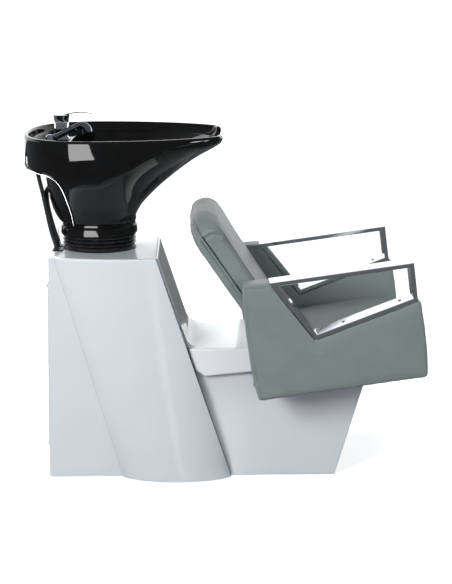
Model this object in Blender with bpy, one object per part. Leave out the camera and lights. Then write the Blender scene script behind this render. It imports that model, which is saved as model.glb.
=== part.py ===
"""Shampoo backwash unit: tilting basin on a moulded pedestal, with a fixed reclined armchair.

Frame: metres, +X towards the chair's front, +Y to the sitter's left, +Z up.
X = 0 is the middle of the overall length, Y = 0 the symmetry plane, Z = 0 the floor.
"""
import math

import bmesh
import bpy
from mathutils import Matrix, Vector

# ---------------------------------------------------------------- driving dimensions
GAP = 0.0003                 # clearance between touching pieces
SHELL_WALL = 0.005           # moulded shell thickness
SHELL_BOTTOM = 0.003         # lower edge of the shells above the floor
SHELL_HALF_WIDTH = 0.159     # flat flanks of the plinth, and of the column at the floor
FLANK_HALF_WIDTH_TOP = 0.149

COLUMN_TOP = 0.645
COLUMN_REAR_FLOOR = -0.500
COLUMN_REAR_TOP = -0.488
COLUMN_FRONT_FLOOR = 0.024
COLUMN_FRONT_TOP = -0.188
BULGE_MID_FLOOR = -0.1325    # leaning elliptic bulge on each flank, cut off by the column's front
BULGE_MID_TOP = -0.2700
BULGE_HALF_FLOOR = 0.1565
BULGE_HALF_TOP = 0.2050
BULGE_DEPTH_FLOOR = 0.058
BULGE_DEPTH_TOP = 0.047

PLINTH_FRONT_FLOOR = 0.321
PLINTH_FRONT_LEAN = 0.2955   # metres forward for each metre up
SEAT_DECK_HEIGHT = 0.2685    # plinth deck under the seat, at SEAT_REAR
SEAT_REAR = 0.100
SEAT_SLOPE = 0.080           # rise of the seat per metre forward
TRAY_TOP = 0.385
TRAY_HALF_WIDTH = 0.179
TRAY_FRONT = 0.0935

PIVOT = Vector((-0.353, 0.0, 0.672))
FOOT_BOTTOM = 0.690
DECK_HEIGHT = 0.955          # tap ledge inside the rear of the basin
RIM_HEIGHT = 0.980
BASIN_MID_X = -0.350         # widest station of the basin
REAR_FULLNESS = 2.5          # superellipse exponent of the basin's rear
WASTE_RADIUS = 0.020

MIXER = Vector((-0.4545, 0.0, DECK_HEIGHT))
SPRAY_SEAT = Vector((-0.470, -0.062, 0.967))
SPRAY_ANGLE = math.radians(26.0)
HOSE_RADIUS = 0.0060
FEED_RADIUS = 0.0050
HOSE_DROP_X = -0.4745        # where the hoses enter the column

CHAIR_HALF_WIDTH = 0.320
PANEL_DEPTH = 0.068
PANEL_INNER = CHAIR_HALF_WIDTH - PANEL_DEPTH
CUSHION_HALF_WIDTH = 0.2445
ARM_BAR = 0.012              # thickness of the flat chrome bar
ARM_BAR_WIDTH = 0.066
BACK_ANGLE = math.radians(34.5)

ROUND = 32                   # segments of a large round piece
SMALL_ROUND = 16


# ---------------------------------------------------------------- helpers
def clear_scene():
    for obj in list(bpy.data.objects):
        bpy.data.objects.remove(obj, do_unlink=True)


def material(name, colour, roughness, metallic=0.0):
    mat = bpy.data.materials.new(name)
    mat.use_nodes = True
    shader = mat.node_tree.nodes["Principled BSDF"]
    shader.inputs["Base Color"].default_value = (*colour, 1.0)
    shader.inputs["Roughness"].default_value = roughness
    shader.inputs["Metallic"].default_value = metallic
    return mat


def add_object(name, bm, look, parent=None, smooth=35.0):
    """Turn a bmesh in world coordinates into a named object, kept in place under its parent."""
    bmesh.ops.recalc_face_normals(bm, faces=bm.faces)
    mesh = bpy.data.meshes.new(name)
    bm.to_mesh(mesh)
    bm.free()
    mesh.materials.append(material(name, *look))
    mesh.shade_smooth()
    mesh.set_sharp_from_angle(angle=math.radians(smooth))
    obj = bpy.data.objects.new(name, mesh)
    bpy.context.collection.objects.link(obj)
    attach(obj, parent)
    return obj


def attach(obj, parent):
    if parent is not None:
        obj.parent = parent
        obj.matrix_parent_inverse = parent.matrix_world.inverted()


def axis_empty(name, place, parent=None):
    empty = bpy.data.objects.new(name, None)
    empty.location = place
    bpy.context.collection.objects.link(empty)
    bpy.context.view_layer.update()
    attach(empty, parent)
    bpy.context.view_layer.update()
    return empty


def loft(loops):
    """Closed body through loops of equal point count, with a flat cap at each end."""
    bm = bmesh.new()
    rings = [[bm.verts.new(point) for point in loop] for loop in loops]
    count = len(rings[0])
    for lower, upper in zip(rings, rings[1:]):
        for i in range(count):
            j = (i + 1) % count
            bm.faces.new((lower[i], lower[j], upper[j], upper[i]))
    bm.faces.new(rings[0][::-1])
    bm.faces.new(rings[-1])
    return bm


def shell_loft(outer, inner):
    """Closed thin shell: an outer and an inner stack of loops joined at their first loop."""
    bm = bmesh.new()
    rings = []
    for loops in (outer, inner):
        rings.append([[bm.verts.new(point) for point in loop] for loop in loops])
    count = len(outer[0])
    for stack in rings:
        for lower, upper in zip(stack, stack[1:]):
            for i in range(count):
                j = (i + 1) % count
                bm.faces.new((lower[i], lower[j], upper[j], upper[i]))
        bm.faces.new(stack[-1])
    for i in range(count):
        j = (i + 1) % count
        bm.faces.new((rings[0][0][i], rings[0][0][j], rings[1][0][j], rings[1][0][i]))
    return bm


def side_prism(outline, y_low, y_high):
    """Extrude an outline of (x, z) points along Y."""
    return loft([[(x, y, z) for x, z in outline] for y in (y_low, y_high)])


def block(low, high):
    x0, y0, z0 = low
    x1, y1, z1 = high
    return side_prism([(x0, z0), (x1, z0), (x1, z1), (x0, z1)], y0, y1)


def turned(profile, centre, segments=ROUND, turn=None):
    """Revolve (radius, height) points about Z. A profile that starts and ends on the axis is
    closed by its poles, any other profile is closed on itself into a ring."""
    bm = bmesh.new()
    on_axis = profile[0][0] == 0.0
    rings = []
    for radius, height in profile:
        if radius == 0.0:
            rings.append([bm.verts.new((0.0, 0.0, height))])
            continue
        ring = []
        for i in range(segments):
            angle = math.tau * i / segments
            ring.append(bm.verts.new((radius * math.cos(angle), radius * math.sin(angle), height)))
        rings.append(ring)
    pairs = list(zip(rings, rings[1:]))
    if not on_axis:
        pairs.append((rings[-1], rings[0]))
    for lower, upper in pairs:
        for i in range(segments):
            j = (i + 1) % segments
            corners = [lower[i % len(lower)], lower[j % len(lower)],
                       upper[j % len(upper)], upper[i % len(upper)]]
            bm.faces.new(list(dict.fromkeys(corners)))
    frame = Matrix.Translation(centre)
    if turn is not None:
        frame = frame @ turn
    bmesh.ops.transform(bm, matrix=frame, verts=bm.verts)
    return bm


def rod(start, end, radius, segments=SMALL_ROUND):
    start = Vector(start)
    span = Vector(end) - start
    turn = span.to_track_quat("Z", "Y").to_matrix().to_4x4()
    profile = [(0.0, 0.0), (radius, 0.0), (radius, span.length), (0.0, span.length)]
    return turned(profile, start, segments, turn)


def cutter(name, bm):
    bmesh.ops.recalc_face_normals(bm, faces=bm.faces)
    mesh = bpy.data.meshes.new(name)
    bm.to_mesh(mesh)
    bm.free()
    obj = bpy.data.objects.new(name, mesh)
    obj.display_type = "WIRE"
    obj.hide_render = True
    bpy.context.collection.objects.link(obj)
    return obj


def combine(obj, tool_bm, operation):
    """Add a Boolean with a hidden tool made from a bmesh, or with a ready tool object."""
    tool = tool_bm
    if isinstance(tool_bm, bmesh.types.BMesh):
        tool = cutter(f"{obj.name}_tool_{len(obj.modifiers)}", tool_bm)
    boolean = obj.modifiers.new(operation.lower(), "BOOLEAN")
    boolean.operation = operation
    boolean.solver = "EXACT"
    boolean.object = tool
    return obj


def cut(obj, tool_bm):
    return combine(obj, tool_bm, "DIFFERENCE")


def join(obj, tool_bm):
    return combine(obj, tool_bm, "UNION")


def bevel(obj, width, segments=2, angle=40.0):
    modifier = obj.modifiers.new("edges", "BEVEL")
    modifier.width = width
    modifier.segments = segments
    modifier.limit_method = "ANGLE"
    modifier.angle_limit = math.radians(angle)
    return obj


def mix(low, high, share):
    return low + (high - low) * share


def stations(table, height):
    """Linear interpolation of a table of rows whose first value is the height."""
    for low, high in zip(table, table[1:]):
        if height <= high[0]:
            share = (height - low[0]) / (high[0] - low[0])
            return [mix(a, b, share) for a, b in zip(low[1:], high[1:])]
    return list(table[-1][1:])


def smooth_route(points, spacing):
    """Points at even spacing on a Catmull-Rom curve through the given points."""
    knots = [Vector(p) for p in points]
    knots = [knots[0] * 2 - knots[1]] + knots + [knots[-1] * 2 - knots[-2]]
    fine = []
    for a, b, c, d in zip(knots, knots[1:], knots[2:], knots[3:]):
        for step in range(24):
            t = step / 24
            fine.append(0.5 * (2 * b + (c - a) * t + (2 * a - 5 * b + 4 * c - d) * t * t
                               + (3 * b - a - 3 * c + d) * t ** 3))
    fine.append(knots[-2])
    length = sum((q - p).length for p, q in zip(fine, fine[1:]))
    count = max(2, round(length / spacing))
    route = [fine[0]]
    walked = 0.0
    for p, q in zip(fine, fine[1:]):
        step = (q - p).length
        while len(route) < count and walked + step >= length * len(route) / count:
            share = (length * len(route) / count - walked) / step
            route.append(p.lerp(q, share))
        walked += step
    route.append(fine[-1])
    return route


def hose(name, points, radius, look, spacing, resolution=2):
    """A round hose: a curve with a bevel and filled caps along a smooth route."""
    curve = bpy.data.curves.new(name, "CURVE")
    curve.dimensions = "3D"
    curve.bevel_depth = radius
    curve.bevel_resolution = resolution
    curve.use_fill_caps = True
    spline = curve.splines.new("POLY")
    route = smooth_route(points, spacing)
    spline.points.add(len(route) - 1)
    for point, place in zip(spline.points, route):
        point.co = (*place, 1.0)
    curve.materials.append(material(name, *look))
    obj = bpy.data.objects.new(name, curve)
    bpy.context.collection.objects.link(obj)
    return obj


# ---------------------------------------------------------- looks: colour, roughness, metallic
GLOSS_WHITE = ((0.72, 0.76, 0.80), 0.15)
TRAY_WHITE = ((0.88, 0.90, 0.91), 0.18)
BLACK_CERAMIC = ((0.010, 0.010, 0.012), 0.05)
BLACK_RUBBER = ((0.015, 0.015, 0.017), 0.30)
BLACK_PLASTIC = ((0.02, 0.02, 0.022), 0.35)
LEATHER = ((0.23, 0.27, 0.26), 0.45)
CHROME = ((0.75, 0.77, 0.79), 0.06, 1.0)
STEEL = ((0.45, 0.46, 0.47), 0.35, 1.0)
BLACK_STEEL = ((0.03, 0.03, 0.03), 0.45, 0.6)
BRASS = ((0.60, 0.45, 0.20), 0.30, 1.0)
PLYWOOD = ((0.50, 0.36, 0.22), 0.60)


# ---------------------------------------------------------------- pedestal
def column_line(floor_value, top_value, z):
    return mix(floor_value, top_value, z / COLUMN_TOP)


def column_front(z):
    return column_line(COLUMN_FRONT_FLOOR, COLUMN_FRONT_TOP, z)


def column_outline(z, inset, segments=12):
    """Plan section of the column: flat flanks, and a leaning bulge on each side."""
    rear = column_line(COLUMN_REAR_FLOOR, COLUMN_REAR_TOP, z) + inset
    front = column_front(z) - inset
    middle = column_line(BULGE_MID_FLOOR, BULGE_MID_TOP, z)
    half = column_line(BULGE_HALF_FLOOR, BULGE_HALF_TOP, z) - inset
    depth = column_line(BULGE_DEPTH_FLOOR, BULGE_DEPTH_TOP, z)
    flank = column_line(SHELL_HALF_WIDTH, FLANK_HALF_WIDTH_TOP, z) - inset
    corner = 0.008
    side = [(rear, flank - corner), (rear + 0.3 * corner, flank - 0.3 * corner),
            (rear + corner, flank)]
    last = math.pi - math.acos(min(1.0, (front - middle) / half))
    for i in range(segments + 1):
        angle = last * i / segments
        swell = math.sin(angle)
        if angle < 0.5 * math.pi:
            swell = swell ** 1.25
        side.append((middle - half * math.cos(angle), flank + depth * swell))
    outline = [(x, -y, z) for x, y in side]
    outline += [(x, y, z) for x, y in reversed(side)]
    return outline


def rounded_levels(top, radius, steps=3):
    """Heights and insets that round off a top edge."""
    levels = []
    for i in range(steps + 1):
        angle = 0.5 * math.pi * i / steps
        levels.append((top - radius + radius * math.sin(angle), radius * (1.0 - math.cos(angle))))
    return levels


def make_column():
    outer = [column_outline(mix(SHELL_BOTTOM, COLUMN_TOP - 0.008, i / 3), 0.0) for i in range(4)]
    outer += [column_outline(z, inset) for z, inset in rounded_levels(COLUMN_TOP, 0.007)]
    inner_top = COLUMN_TOP - SHELL_WALL
    inner = [column_outline(mix(SHELL_BOTTOM, inner_top, i / 3), SHELL_WALL) for i in range(4)]
    shell = add_object("column_shell", shell_loft(outer, inner), GLOSS_WHITE)
    cut(shell, block((-0.53, -0.115, 0.10), (-0.47, 0.115, 0.55)))
    cut(shell, block((-0.12, -0.145, -0.01), (0.04, 0.145, 0.30)))
    cut(shell, rod((PIVOT.x, 0, 0.62), (PIVOT.x, 0, 0.66), 0.032))
    for x, y in BRACKET_BOLTS:
        cut(shell, rod((x, y, 0.62), (x, y, 0.66), 0.0045, 8))
    for low_y, high_y in (SPRAY_SLOT, FEED_SLOT):
        cut(shell, block((HOSE_DROP_X - 0.0072, low_y, 0.62), (HOSE_DROP_X + 0.0125, high_y, 0.66)))


def make_rear_panel():
    """Access panel over the service opening in the column's rear wall."""
    low, high = 0.085, 0.565
    outline = []
    for z, offset in ((low, -GAP), (high, -GAP), (high, -GAP - 0.004), (low, -GAP - 0.004)):
        outline.append((column_line(COLUMN_REAR_FLOOR, COLUMN_REAR_TOP, z) + offset, z))
    panel = add_object("rear_access_panel", side_prism(outline, -0.130, 0.130), GLOSS_WHITE)
    for i, (y, z) in enumerate(((-0.122, 0.093), (0.122, 0.093), (-0.122, 0.557), (0.122, 0.557))):
        face = column_line(COLUMN_REAR_FLOOR, COLUMN_REAR_TOP, z) - GAP - 0.004
        profile = [(0.0, 0.0), (0.0045, 0.0), (0.0035, 0.0018), (0.0, 0.0022)]
        turn = Matrix.Rotation(-0.5 * math.pi, 4, "Y")
        screw = turned(profile, (face - GAP, y, z), 12, turn)
        add_object(f"panel_screw_{i + 1}", screw, CHROME)


def seat_line(x, height=SEAT_DECK_HEIGHT):
    return height + SEAT_SLOPE * (x - SEAT_REAR)


def make_plinth():
    tray_rest = TRAY_TOP - SHELL_WALL - GAP
    step = 0.088

    def outline(inset):
        base = SHELL_BOTTOM
        top = tray_rest - inset
        deck_front = 0.4076 - 1.05 * inset
        return [(column_front(base) + GAP + 1.05 * inset, base),
                (PLINTH_FRONT_FLOOR + PLINTH_FRONT_LEAN * base - 1.05 * inset, base),
                (deck_front, seat_line(deck_front) - inset),
                (step - inset, seat_line(step) - inset),
                (step - inset, top),
                (column_front(top) + GAP + 1.05 * inset, top)]

    shell = add_object("plinth_shell",
                       side_prism(outline(0.0), -SHELL_HALF_WIDTH, SHELL_HALF_WIDTH), GLOSS_WHITE)
    hollow = outline(SHELL_WALL)
    hollow[0] = (column_front(-0.02) - 0.02, -0.02)
    hollow[1] = (PLINTH_FRONT_FLOOR - 0.0059 - 1.05 * SHELL_WALL, -0.02)
    hollow[5] = (column_front(hollow[5][1]) - 0.02, hollow[5][1])
    inner = SHELL_HALF_WIDTH - SHELL_WALL
    cut(shell, side_prism(hollow, -inner, inner))
    bevel(shell, 0.004, 2, 50.0)


def make_saddle():
    """Tray cover between column and chair, with an apron rising up the column's front."""
    wall = 0.005
    face = 0.0006

    def front(z, offset):
        return column_front(z) + offset

    def fillet(radius, offset, top):
        """Rounded inner corner between the apron's face and the tray's face."""
        points = []
        lean = math.atan2(COLUMN_FRONT_FLOOR - COLUMN_FRONT_TOP, COLUMN_TOP)
        corner_x = front(top, offset)
        reach = radius * math.tan(0.5 * (0.5 * math.pi - lean))
        for i in range(7):
            share = i / 6
            along = (1 - share) ** 2
            along_tray = share ** 2
            x = corner_x - along * reach * math.sin(lean) + along_tray * reach
            z = top + along * reach * math.cos(lean)
            points.append((x, z))
        return points

    apron_top = 0.6425
    outline = [(front(apron_top, face), apron_top), (front(apron_top, face + wall), apron_top - 0.002)]
    outline += fillet(0.045, face + wall, TRAY_TOP)
    outline += [(TRAY_FRONT, TRAY_TOP), (TRAY_FRONT, TRAY_TOP - wall)]
    outline += [(front(TRAY_TOP - wall, face), TRAY_TOP - wall)]
    cover = add_object("saddle_cover", side_prism(outline, -0.1585, 0.1585), TRAY_WHITE)

    skirt_bottom = 0.306
    side = [(front(TRAY_TOP, 0.003), TRAY_TOP), (TRAY_FRONT, TRAY_TOP),
            (TRAY_FRONT, skirt_bottom + 0.010), (-0.053, skirt_bottom - 0.003),
            (front(0.322, 0.003), 0.322)]
    skirt = cutter("saddle_skirt_tool", side_prism(side, -TRAY_HALF_WIDTH, TRAY_HALF_WIDTH))
    bevel(skirt, 0.004, 2, 50.0)
    top = TRAY_TOP - wall
    hollow = [(front(top, -0.02), top), (TRAY_FRONT - wall, top),
              (TRAY_FRONT - wall, skirt_bottom - 0.03), (front(skirt_bottom, -0.03), skirt_bottom - 0.03)]
    inner = TRAY_HALF_WIDTH - wall
    cut(skirt, side_prism(hollow, -inner, inner))
    cut(skirt, block((TRAY_FRONT - 0.02, -0.170, 0.28), (0.12, 0.170, TRAY_TOP - 0.06)))
    combine(cover, skirt, "UNION")


def make_frame():
    """Timber frame inside the shells, and its levelling feet."""
    half = 0.015
    low, high = 0.020, 0.050
    rear_x, mid_x, seat_x, front_x = -0.455, -0.235, 0.050, 0.270
    frame = add_object("base_frame", block((rear_x - half, -0.13, low), (rear_x + half, 0.13, high)),
                       PLYWOOD)
    deck = SEAT_DECK_HEIGHT - SHELL_WALL - GAP
    for y in (-0.12, 0.12):
        join(frame, block((rear_x - 0.5 * half, y - half, low + 0.0001),
                          (front_x + 0.5 * half, y + half, high - 0.0001)))
        for x, top in ((rear_x, 0.630), (mid_x, 0.630), (seat_x, 0.245), (front_x, deck + 0.006)):
            join(frame, block((x - half + 0.0002, y - half + 0.0002, low + 0.01),
                              (x + half - 0.0002, y + half - 0.0002, top)))
    for x in (mid_x, seat_x, front_x):
        join(frame, block((x - half, -0.125, low + 0.0002), (x + half, 0.125, high - 0.0002)))
    number = 1
    for x in (-0.420, 0.235):
        for y in (-0.12, 0.12):
            profile = [(0.0, 0.0), (0.022, 0.0), (0.022, 0.005), (0.018, 0.009), (0.006, 0.010),
                       (0.006, low - GAP), (0.0, low - GAP)]
            foot = turned(profile, (x, y, 0.0), 20)
            add_object(f"levelling_foot_{number}", foot, BLACK_PLASTIC)
            number += 1


# ---------------------------------------------------------------- tilt mechanism
BRACKET_BOLTS = ((-0.389, -0.0615), (-0.317, -0.0615), (-0.389, 0.0615), (-0.317, 0.0615))
SPRAY_SLOT = (-0.0625, -0.0305)
FEED_SLOT = (-0.0020, 0.0280)


def make_tilt_mechanism(tilt):
    plate_top = COLUMN_TOP + GAP + 0.004
    support = add_object("bowl_support_plate",
                         block((-0.471, -0.136, 0.6303), (-0.219, 0.136, COLUMN_TOP - SHELL_WALL - GAP)),
                         STEEL)
    cut(support, rod((PIVOT.x, 0, 0.62), (PIVOT.x, 0, 0.66), 0.032))
    cut(support, block((-0.50, -0.068, 0.62), (-0.462, 0.034, 0.66)))

    base_bracket = add_object("tilt_bracket_base",
                              block((-0.399, -0.071, COLUMN_TOP + GAP), (-0.307, 0.071, plate_top)),
                              BLACK_STEEL)
    for y in (-0.050, 0.050):
        ear = [(-0.385, plate_top - 0.001), (-0.321, plate_top - 0.001), (-0.335, 0.688),
               (-0.353, 0.694), (-0.371, 0.688)]
        join(base_bracket, side_prism(ear, y - 0.003, y + 0.003))
    cut(base_bracket, rod((PIVOT.x, 0, 0.62), (PIVOT.x, 0, 0.66), 0.0315))
    cut(base_bracket, rod((PIVOT.x, -0.06, PIVOT.z), (PIVOT.x, 0.06, PIVOT.z), 0.0058))
    for i, (x, y) in enumerate(BRACKET_BOLTS):
        cut(support, rod((x, y, 0.62), (x, y, 0.66), 0.0045, 8))
        cut(base_bracket, rod((x, y, 0.62), (x, y, 0.66), 0.0045, 8))
        profile = [(0.0, 0.618), (0.0040, 0.618), (0.0040, plate_top + GAP),
                   (0.0072, plate_top + GAP), (0.0072, plate_top + 0.0050), (0.0, plate_top + 0.0055)]
        add_object(f"bracket_bolt_{i + 1}", turned(profile, (x, y, 0.0), 12), STEEL, None, 25.0)

    bowl_bracket = add_object("tilt_bracket_bowl",
                              block((-0.398, -0.060, 0.7680), (-0.308, 0.060, 0.7735)), BLACK_STEEL,
                              tilt)
    for y in (-0.043, 0.043):
        ear = [(-0.390, 0.7685), (-0.316, 0.7685), (-0.336, 0.668), (-0.344, 0.658),
               (-0.362, 0.658), (-0.370, 0.668)]
        join(bowl_bracket, side_prism(ear[::-1], y - 0.003, y + 0.003))
    cut(bowl_bracket, rod((PIVOT.x, 0, 0.75), (PIVOT.x, 0, 0.79), 0.026))
    cut(bowl_bracket, rod((PIVOT.x, -0.06, PIVOT.z), (PIVOT.x, 0.06, PIVOT.z), 0.0058))
    for side, y in (("right", -1.0), ("left", 1.0)):
        profile = [(0.0, 0.0), (0.008, 0.0), (0.008, 0.0025), (0.0055, 0.0025), (0.0055, 0.0200),
                   (0.0, 0.0200)]
        turn = Matrix.Rotation(-0.5 * math.pi * y, 4, "X")
        pin = turned(profile, (PIVOT.x, y * 0.0370, PIVOT.z), SMALL_ROUND, turn)
        add_object(f"tilt_pin_{side}", pin, STEEL)


def make_bellows():
    """Ribbed rubber boot between the column top and the basin's foot, on its clamp ring."""
    base = COLUMN_TOP + GAP
    ring = [(0.0990, base), (0.1010, base + 0.003), (0.1005, base + 0.010), (0.0975, base + 0.012),
            (0.0860, base + 0.012), (0.0860, base)]
    add_object("bellows_clamp_ring", turned(ring, (PIVOT.x, 0, 0), 36), BLACK_PLASTIC)
    low = base + 0.012 + GAP
    high = FOOT_BOTTOM - GAP
    ribs = 3
    outer = []
    inner = []
    for i in range(4 * ribs + 1):
        z = mix(low, high, i / (4 * ribs))
        wave = 0.5 - 0.5 * math.cos(math.tau * i / 4)
        outer.append((0.0975 + 0.0085 * wave, z))
        inner.append((0.0945 + 0.0075 * wave, z))
    profile = outer + inner[::-1]
    add_object("bellows", turned(profile, (PIVOT.x, 0, 0), 32), BLACK_RUBBER)


# ---------------------------------------------------------------- basin
# height, rear X, crease X, nose X, half width, crease half width
BASIN_OUTSIDE = (
    (0.690, -0.4625, -0.2640, -0.2435, 0.1095, 0.055),
    (0.722, -0.4600, -0.2660, -0.2455, 0.1070, 0.055),
    (0.740, -0.4720, -0.2680, -0.2480, 0.1160, 0.062),
    (0.772, -0.4890, -0.2540, -0.2300, 0.1420, 0.085),
    (0.800, -0.5030, -0.2370, -0.2050, 0.1720, 0.100),
    (0.827, -0.5180, -0.2190, -0.1770, 0.2010, 0.108),
    (0.858, -0.5380, -0.1890, -0.1400, 0.2330, 0.112),
    (0.889, -0.5570, -0.1470, -0.0990, 0.2590, 0.118),
    (0.914, -0.5570, -0.1020, -0.0620, 0.2720, 0.127),
    (0.936, -0.5570, -0.0600, -0.0230, 0.2800, 0.138),
    (0.952, -0.5570, -0.0280, 0.0010, 0.2830, 0.147),
    (0.966, -0.5570, -0.0100, 0.0060, 0.2845, 0.153),
    (0.980, -0.5570, -0.0070, 0.0060, 0.2850, 0.156),
)
BASIN_INSIDE = (
    (0.791, -0.3850, -0.3240, -0.3180, 0.0300, 0.015),
    (0.796, -0.4020, -0.2920, -0.2720, 0.0780, 0.035),
    (0.808, -0.4180, -0.2640, -0.2270, 0.1300, 0.060),
    (0.830, -0.4270, -0.2390, -0.1960, 0.1780, 0.085),
    (0.858, -0.4300, -0.2120, -0.1640, 0.2150, 0.098),
    (0.889, -0.4290, -0.1740, -0.1250, 0.2440, 0.102),
    (0.914, -0.4270, -0.1290, -0.0880, 0.2570, 0.110),
    (0.936, -0.4250, -0.0880, -0.0500, 0.2650, 0.120),
    (0.9555, -0.4230, -0.0520, -0.0240, 0.2690, 0.130),
)


def basin_loop(z, rear, crease, nose, half_width, crease_half, inset=0.0):
    """Plan section of the basin: full rear, tapering sides, and a softly creased nose."""
    rear += inset
    crease -= inset
    nose -= inset
    half_width -= inset
    crease_half -= 0.5 * inset
    mid = BASIN_MID_X
    side = []
    for i in range(9):
        angle = 0.5 * math.pi * i / 9
        x = mid - (mid - rear) * math.cos(angle) ** (2.0 / REAR_FULLNESS)
        y = half_width * math.sin(angle) ** (2.0 / REAR_FULLNESS)
        side.append((x, y))
    stop = math.asin(crease_half / half_width)
    length = (crease - mid) / math.cos(stop)
    for i in range(9):
        angle = mix(0.5 * math.pi, stop, i / 8)
        side.append((mid + length * math.cos(angle), half_width * math.sin(angle)))
    for i in range(1, 5):
        y = crease_half * (1.0 - i / 4)
        side.append((nose - (nose - crease) * (y / crease_half) ** 2, y))
    loop = [(x, -y, z) for x, y in side]
    loop += [(x, y, z) for x, y in side[-2:0:-1]]
    return loop


def make_basin(tilt):
    levels = [(0.690, 0.003), (0.694, 0.0), (0.712, 0.0), (0.718, 0.003), (0.722, 0.003),
              (0.730, 0.0)]
    levels += [(row[0], 0.0) for row in BASIN_OUTSIDE[2:-1]]
    levels += rounded_levels(RIM_HEIGHT, 0.006)
    outside = [basin_loop(z, *stations(BASIN_OUTSIDE, z), inset) for z, inset in levels]
    basin = add_object("basin", loft(outside), BLACK_CERAMIC, tilt, 40.0)

    # tap recess under the deck, and the open back behind the skirt's curved edge
    core = (
        (0.700, -0.4560, -0.300, -0.280, 0.1040, 0.050),
        (0.738, -0.4730, -0.300, -0.280, 0.1060, 0.050),
        (0.765, -0.4840, -0.300, -0.280, 0.1150, 0.060),
        (0.800, -0.4930, -0.300, -0.280, 0.1500, 0.080),
        (0.830, -0.4970, -0.300, -0.280, 0.1920, 0.090),
        (0.858, -0.4990, -0.300, -0.280, 0.2280, 0.100),
        (0.900, -0.5000, -0.300, -0.280, 0.2600, 0.100),
    )
    skirt_edge = [(-0.60, 0.895), (-0.540, 0.894), (-0.510, 0.8885), (-0.482, 0.8835), (-0.458, 0.874),
                  (-0.443, 0.855), (-0.434, 0.829), (-0.427, 0.796), (-0.420, 0.758),
                  (-0.4165, 0.7245), (-0.60, 0.7245)]
    recess = cutter("basin_recess_tool", side_prism(skirt_edge[::-1], -0.32, 0.32))
    cut(recess, loft([basin_loop(row[0], *row[1:]) for row in core]))
    combine(basin, recess, "DIFFERENCE")
    cut(basin, block((-0.543, -0.150, 0.860), (-0.5005, 0.150, 0.9410)))
    cut(basin, block((-0.5010, -0.1505, 0.885), (-0.4362, 0.1505, 0.9405)))
    cut(basin, block((-0.5020, -0.0720, 0.800), (-0.4425, 0.0720, 0.8900)))

    upper = [basin_loop(z, *stations(BASIN_OUTSIDE, z), inset) for z, inset in
             ((DECK_HEIGHT, 0.0175), (0.966, 0.0165), (0.975, 0.0150), (1.000, 0.0130))]
    cut(basin, loft(upper))
    cut(basin, loft([basin_loop(row[0], *row[1:]) for row in BASIN_INSIDE]))

    # neck rest: a trough through the nose, falling slightly towards the sitter
    neck = rod((-0.150, 0, 1.036), (0.040, 0, 1.026), 0.115, 40)
    cut(basin, neck)

    # foot pocket, waste hole, tap hole and spray hose hole
    cut(basin, rod((PIVOT.x, 0, 0.67), (PIVOT.x, 0, 0.774), 0.094, 40))
    cut(basin, rod((PIVOT.x, 0, 0.76), (PIVOT.x, 0, 0.81), WASTE_RADIUS + 0.001))
    cut(basin, rod((MIXER.x, 0, 0.92), (MIXER.x, 0, 0.97), 0.0155))
    cut(basin, rod((SPRAY_SEAT.x - 0.012, SPRAY_SEAT.y, 0.92),
                   (SPRAY_SEAT.x - 0.012, SPRAY_SEAT.y, 0.97), 0.0125))
    return basin


def make_nut(name, x, low, high, corner_radius, hole_radius, parent):
    """Hexagonal back nut on a vertical shank at (x, 0)."""
    profile = [(0.0, low), (corner_radius, low), (corner_radius, high), (0.0, high)]
    nut = add_object(name, turned(profile, (x, 0, 0), 6), BRASS, parent, 20.0)
    cut(nut, rod((x, 0, low - 0.01), (x, 0, high + 0.01), hole_radius, 24))


def make_waste(tilt):
    """Strainer flange in the basin, its tail and back nut, the flexible waste and fixed drain pipe."""
    floor = 0.7915
    flange = [(0.0, floor - 0.001), (0.010, floor - 0.001), (0.012, floor + 0.0015),
              (0.026, floor + 0.0015), (0.0285, floor + 0.0008), (0.0285, floor + GAP)]
    flange += [(WASTE_RADIUS - 0.0002, floor + GAP), (WASTE_RADIUS - 0.0002, floor - 0.035),
               (WASTE_RADIUS - 0.0035, floor - 0.035), (WASTE_RADIUS - 0.0035, floor - 0.006),
               (0.0, floor - 0.006)]
    add_object("waste_flange", turned(flange, (PIVOT.x, 0, 0), 24), CHROME, tilt)
    nut_low = 0.7570
    make_nut("waste_back_nut", PIVOT.x, nut_low, 0.7672, 0.0275, WASTE_RADIUS + 0.0003, tilt)
    x = PIVOT.x
    waste = [(x, 0, nut_low - 0.0012), (x, 0, 0.72), (x, 0, 0.66), (x, 0, 0.58), (x + 0.010, 0, 0.50),
             (x + 0.030, 0, 0.42), (x + 0.036, 0, 0.34), (x + 0.036, 0, 0.300)]
    hose("waste_hose", waste, 0.0185, BLACK_RUBBER, 0.040)
    trap_x = x + 0.036
    trap = [(trap_x, 0, 0.2995), (trap_x, 0, 0.20), (trap_x - 0.004, 0, 0.150), (trap_x - 0.045, 0, 0.115),
            (trap_x - 0.085, 0, 0.160), (trap_x - 0.070, -0.010, 0.215), (trap_x - 0.020, -0.045, 0.225),
            (trap_x + 0.010, -0.060, 0.16), (trap_x + 0.010, -0.060, 0.060),
            (trap_x + 0.010, -0.060, 0.010)]
    hose("waste_trap", trap, 0.0190, BLACK_PLASTIC, 0.030)


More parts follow.
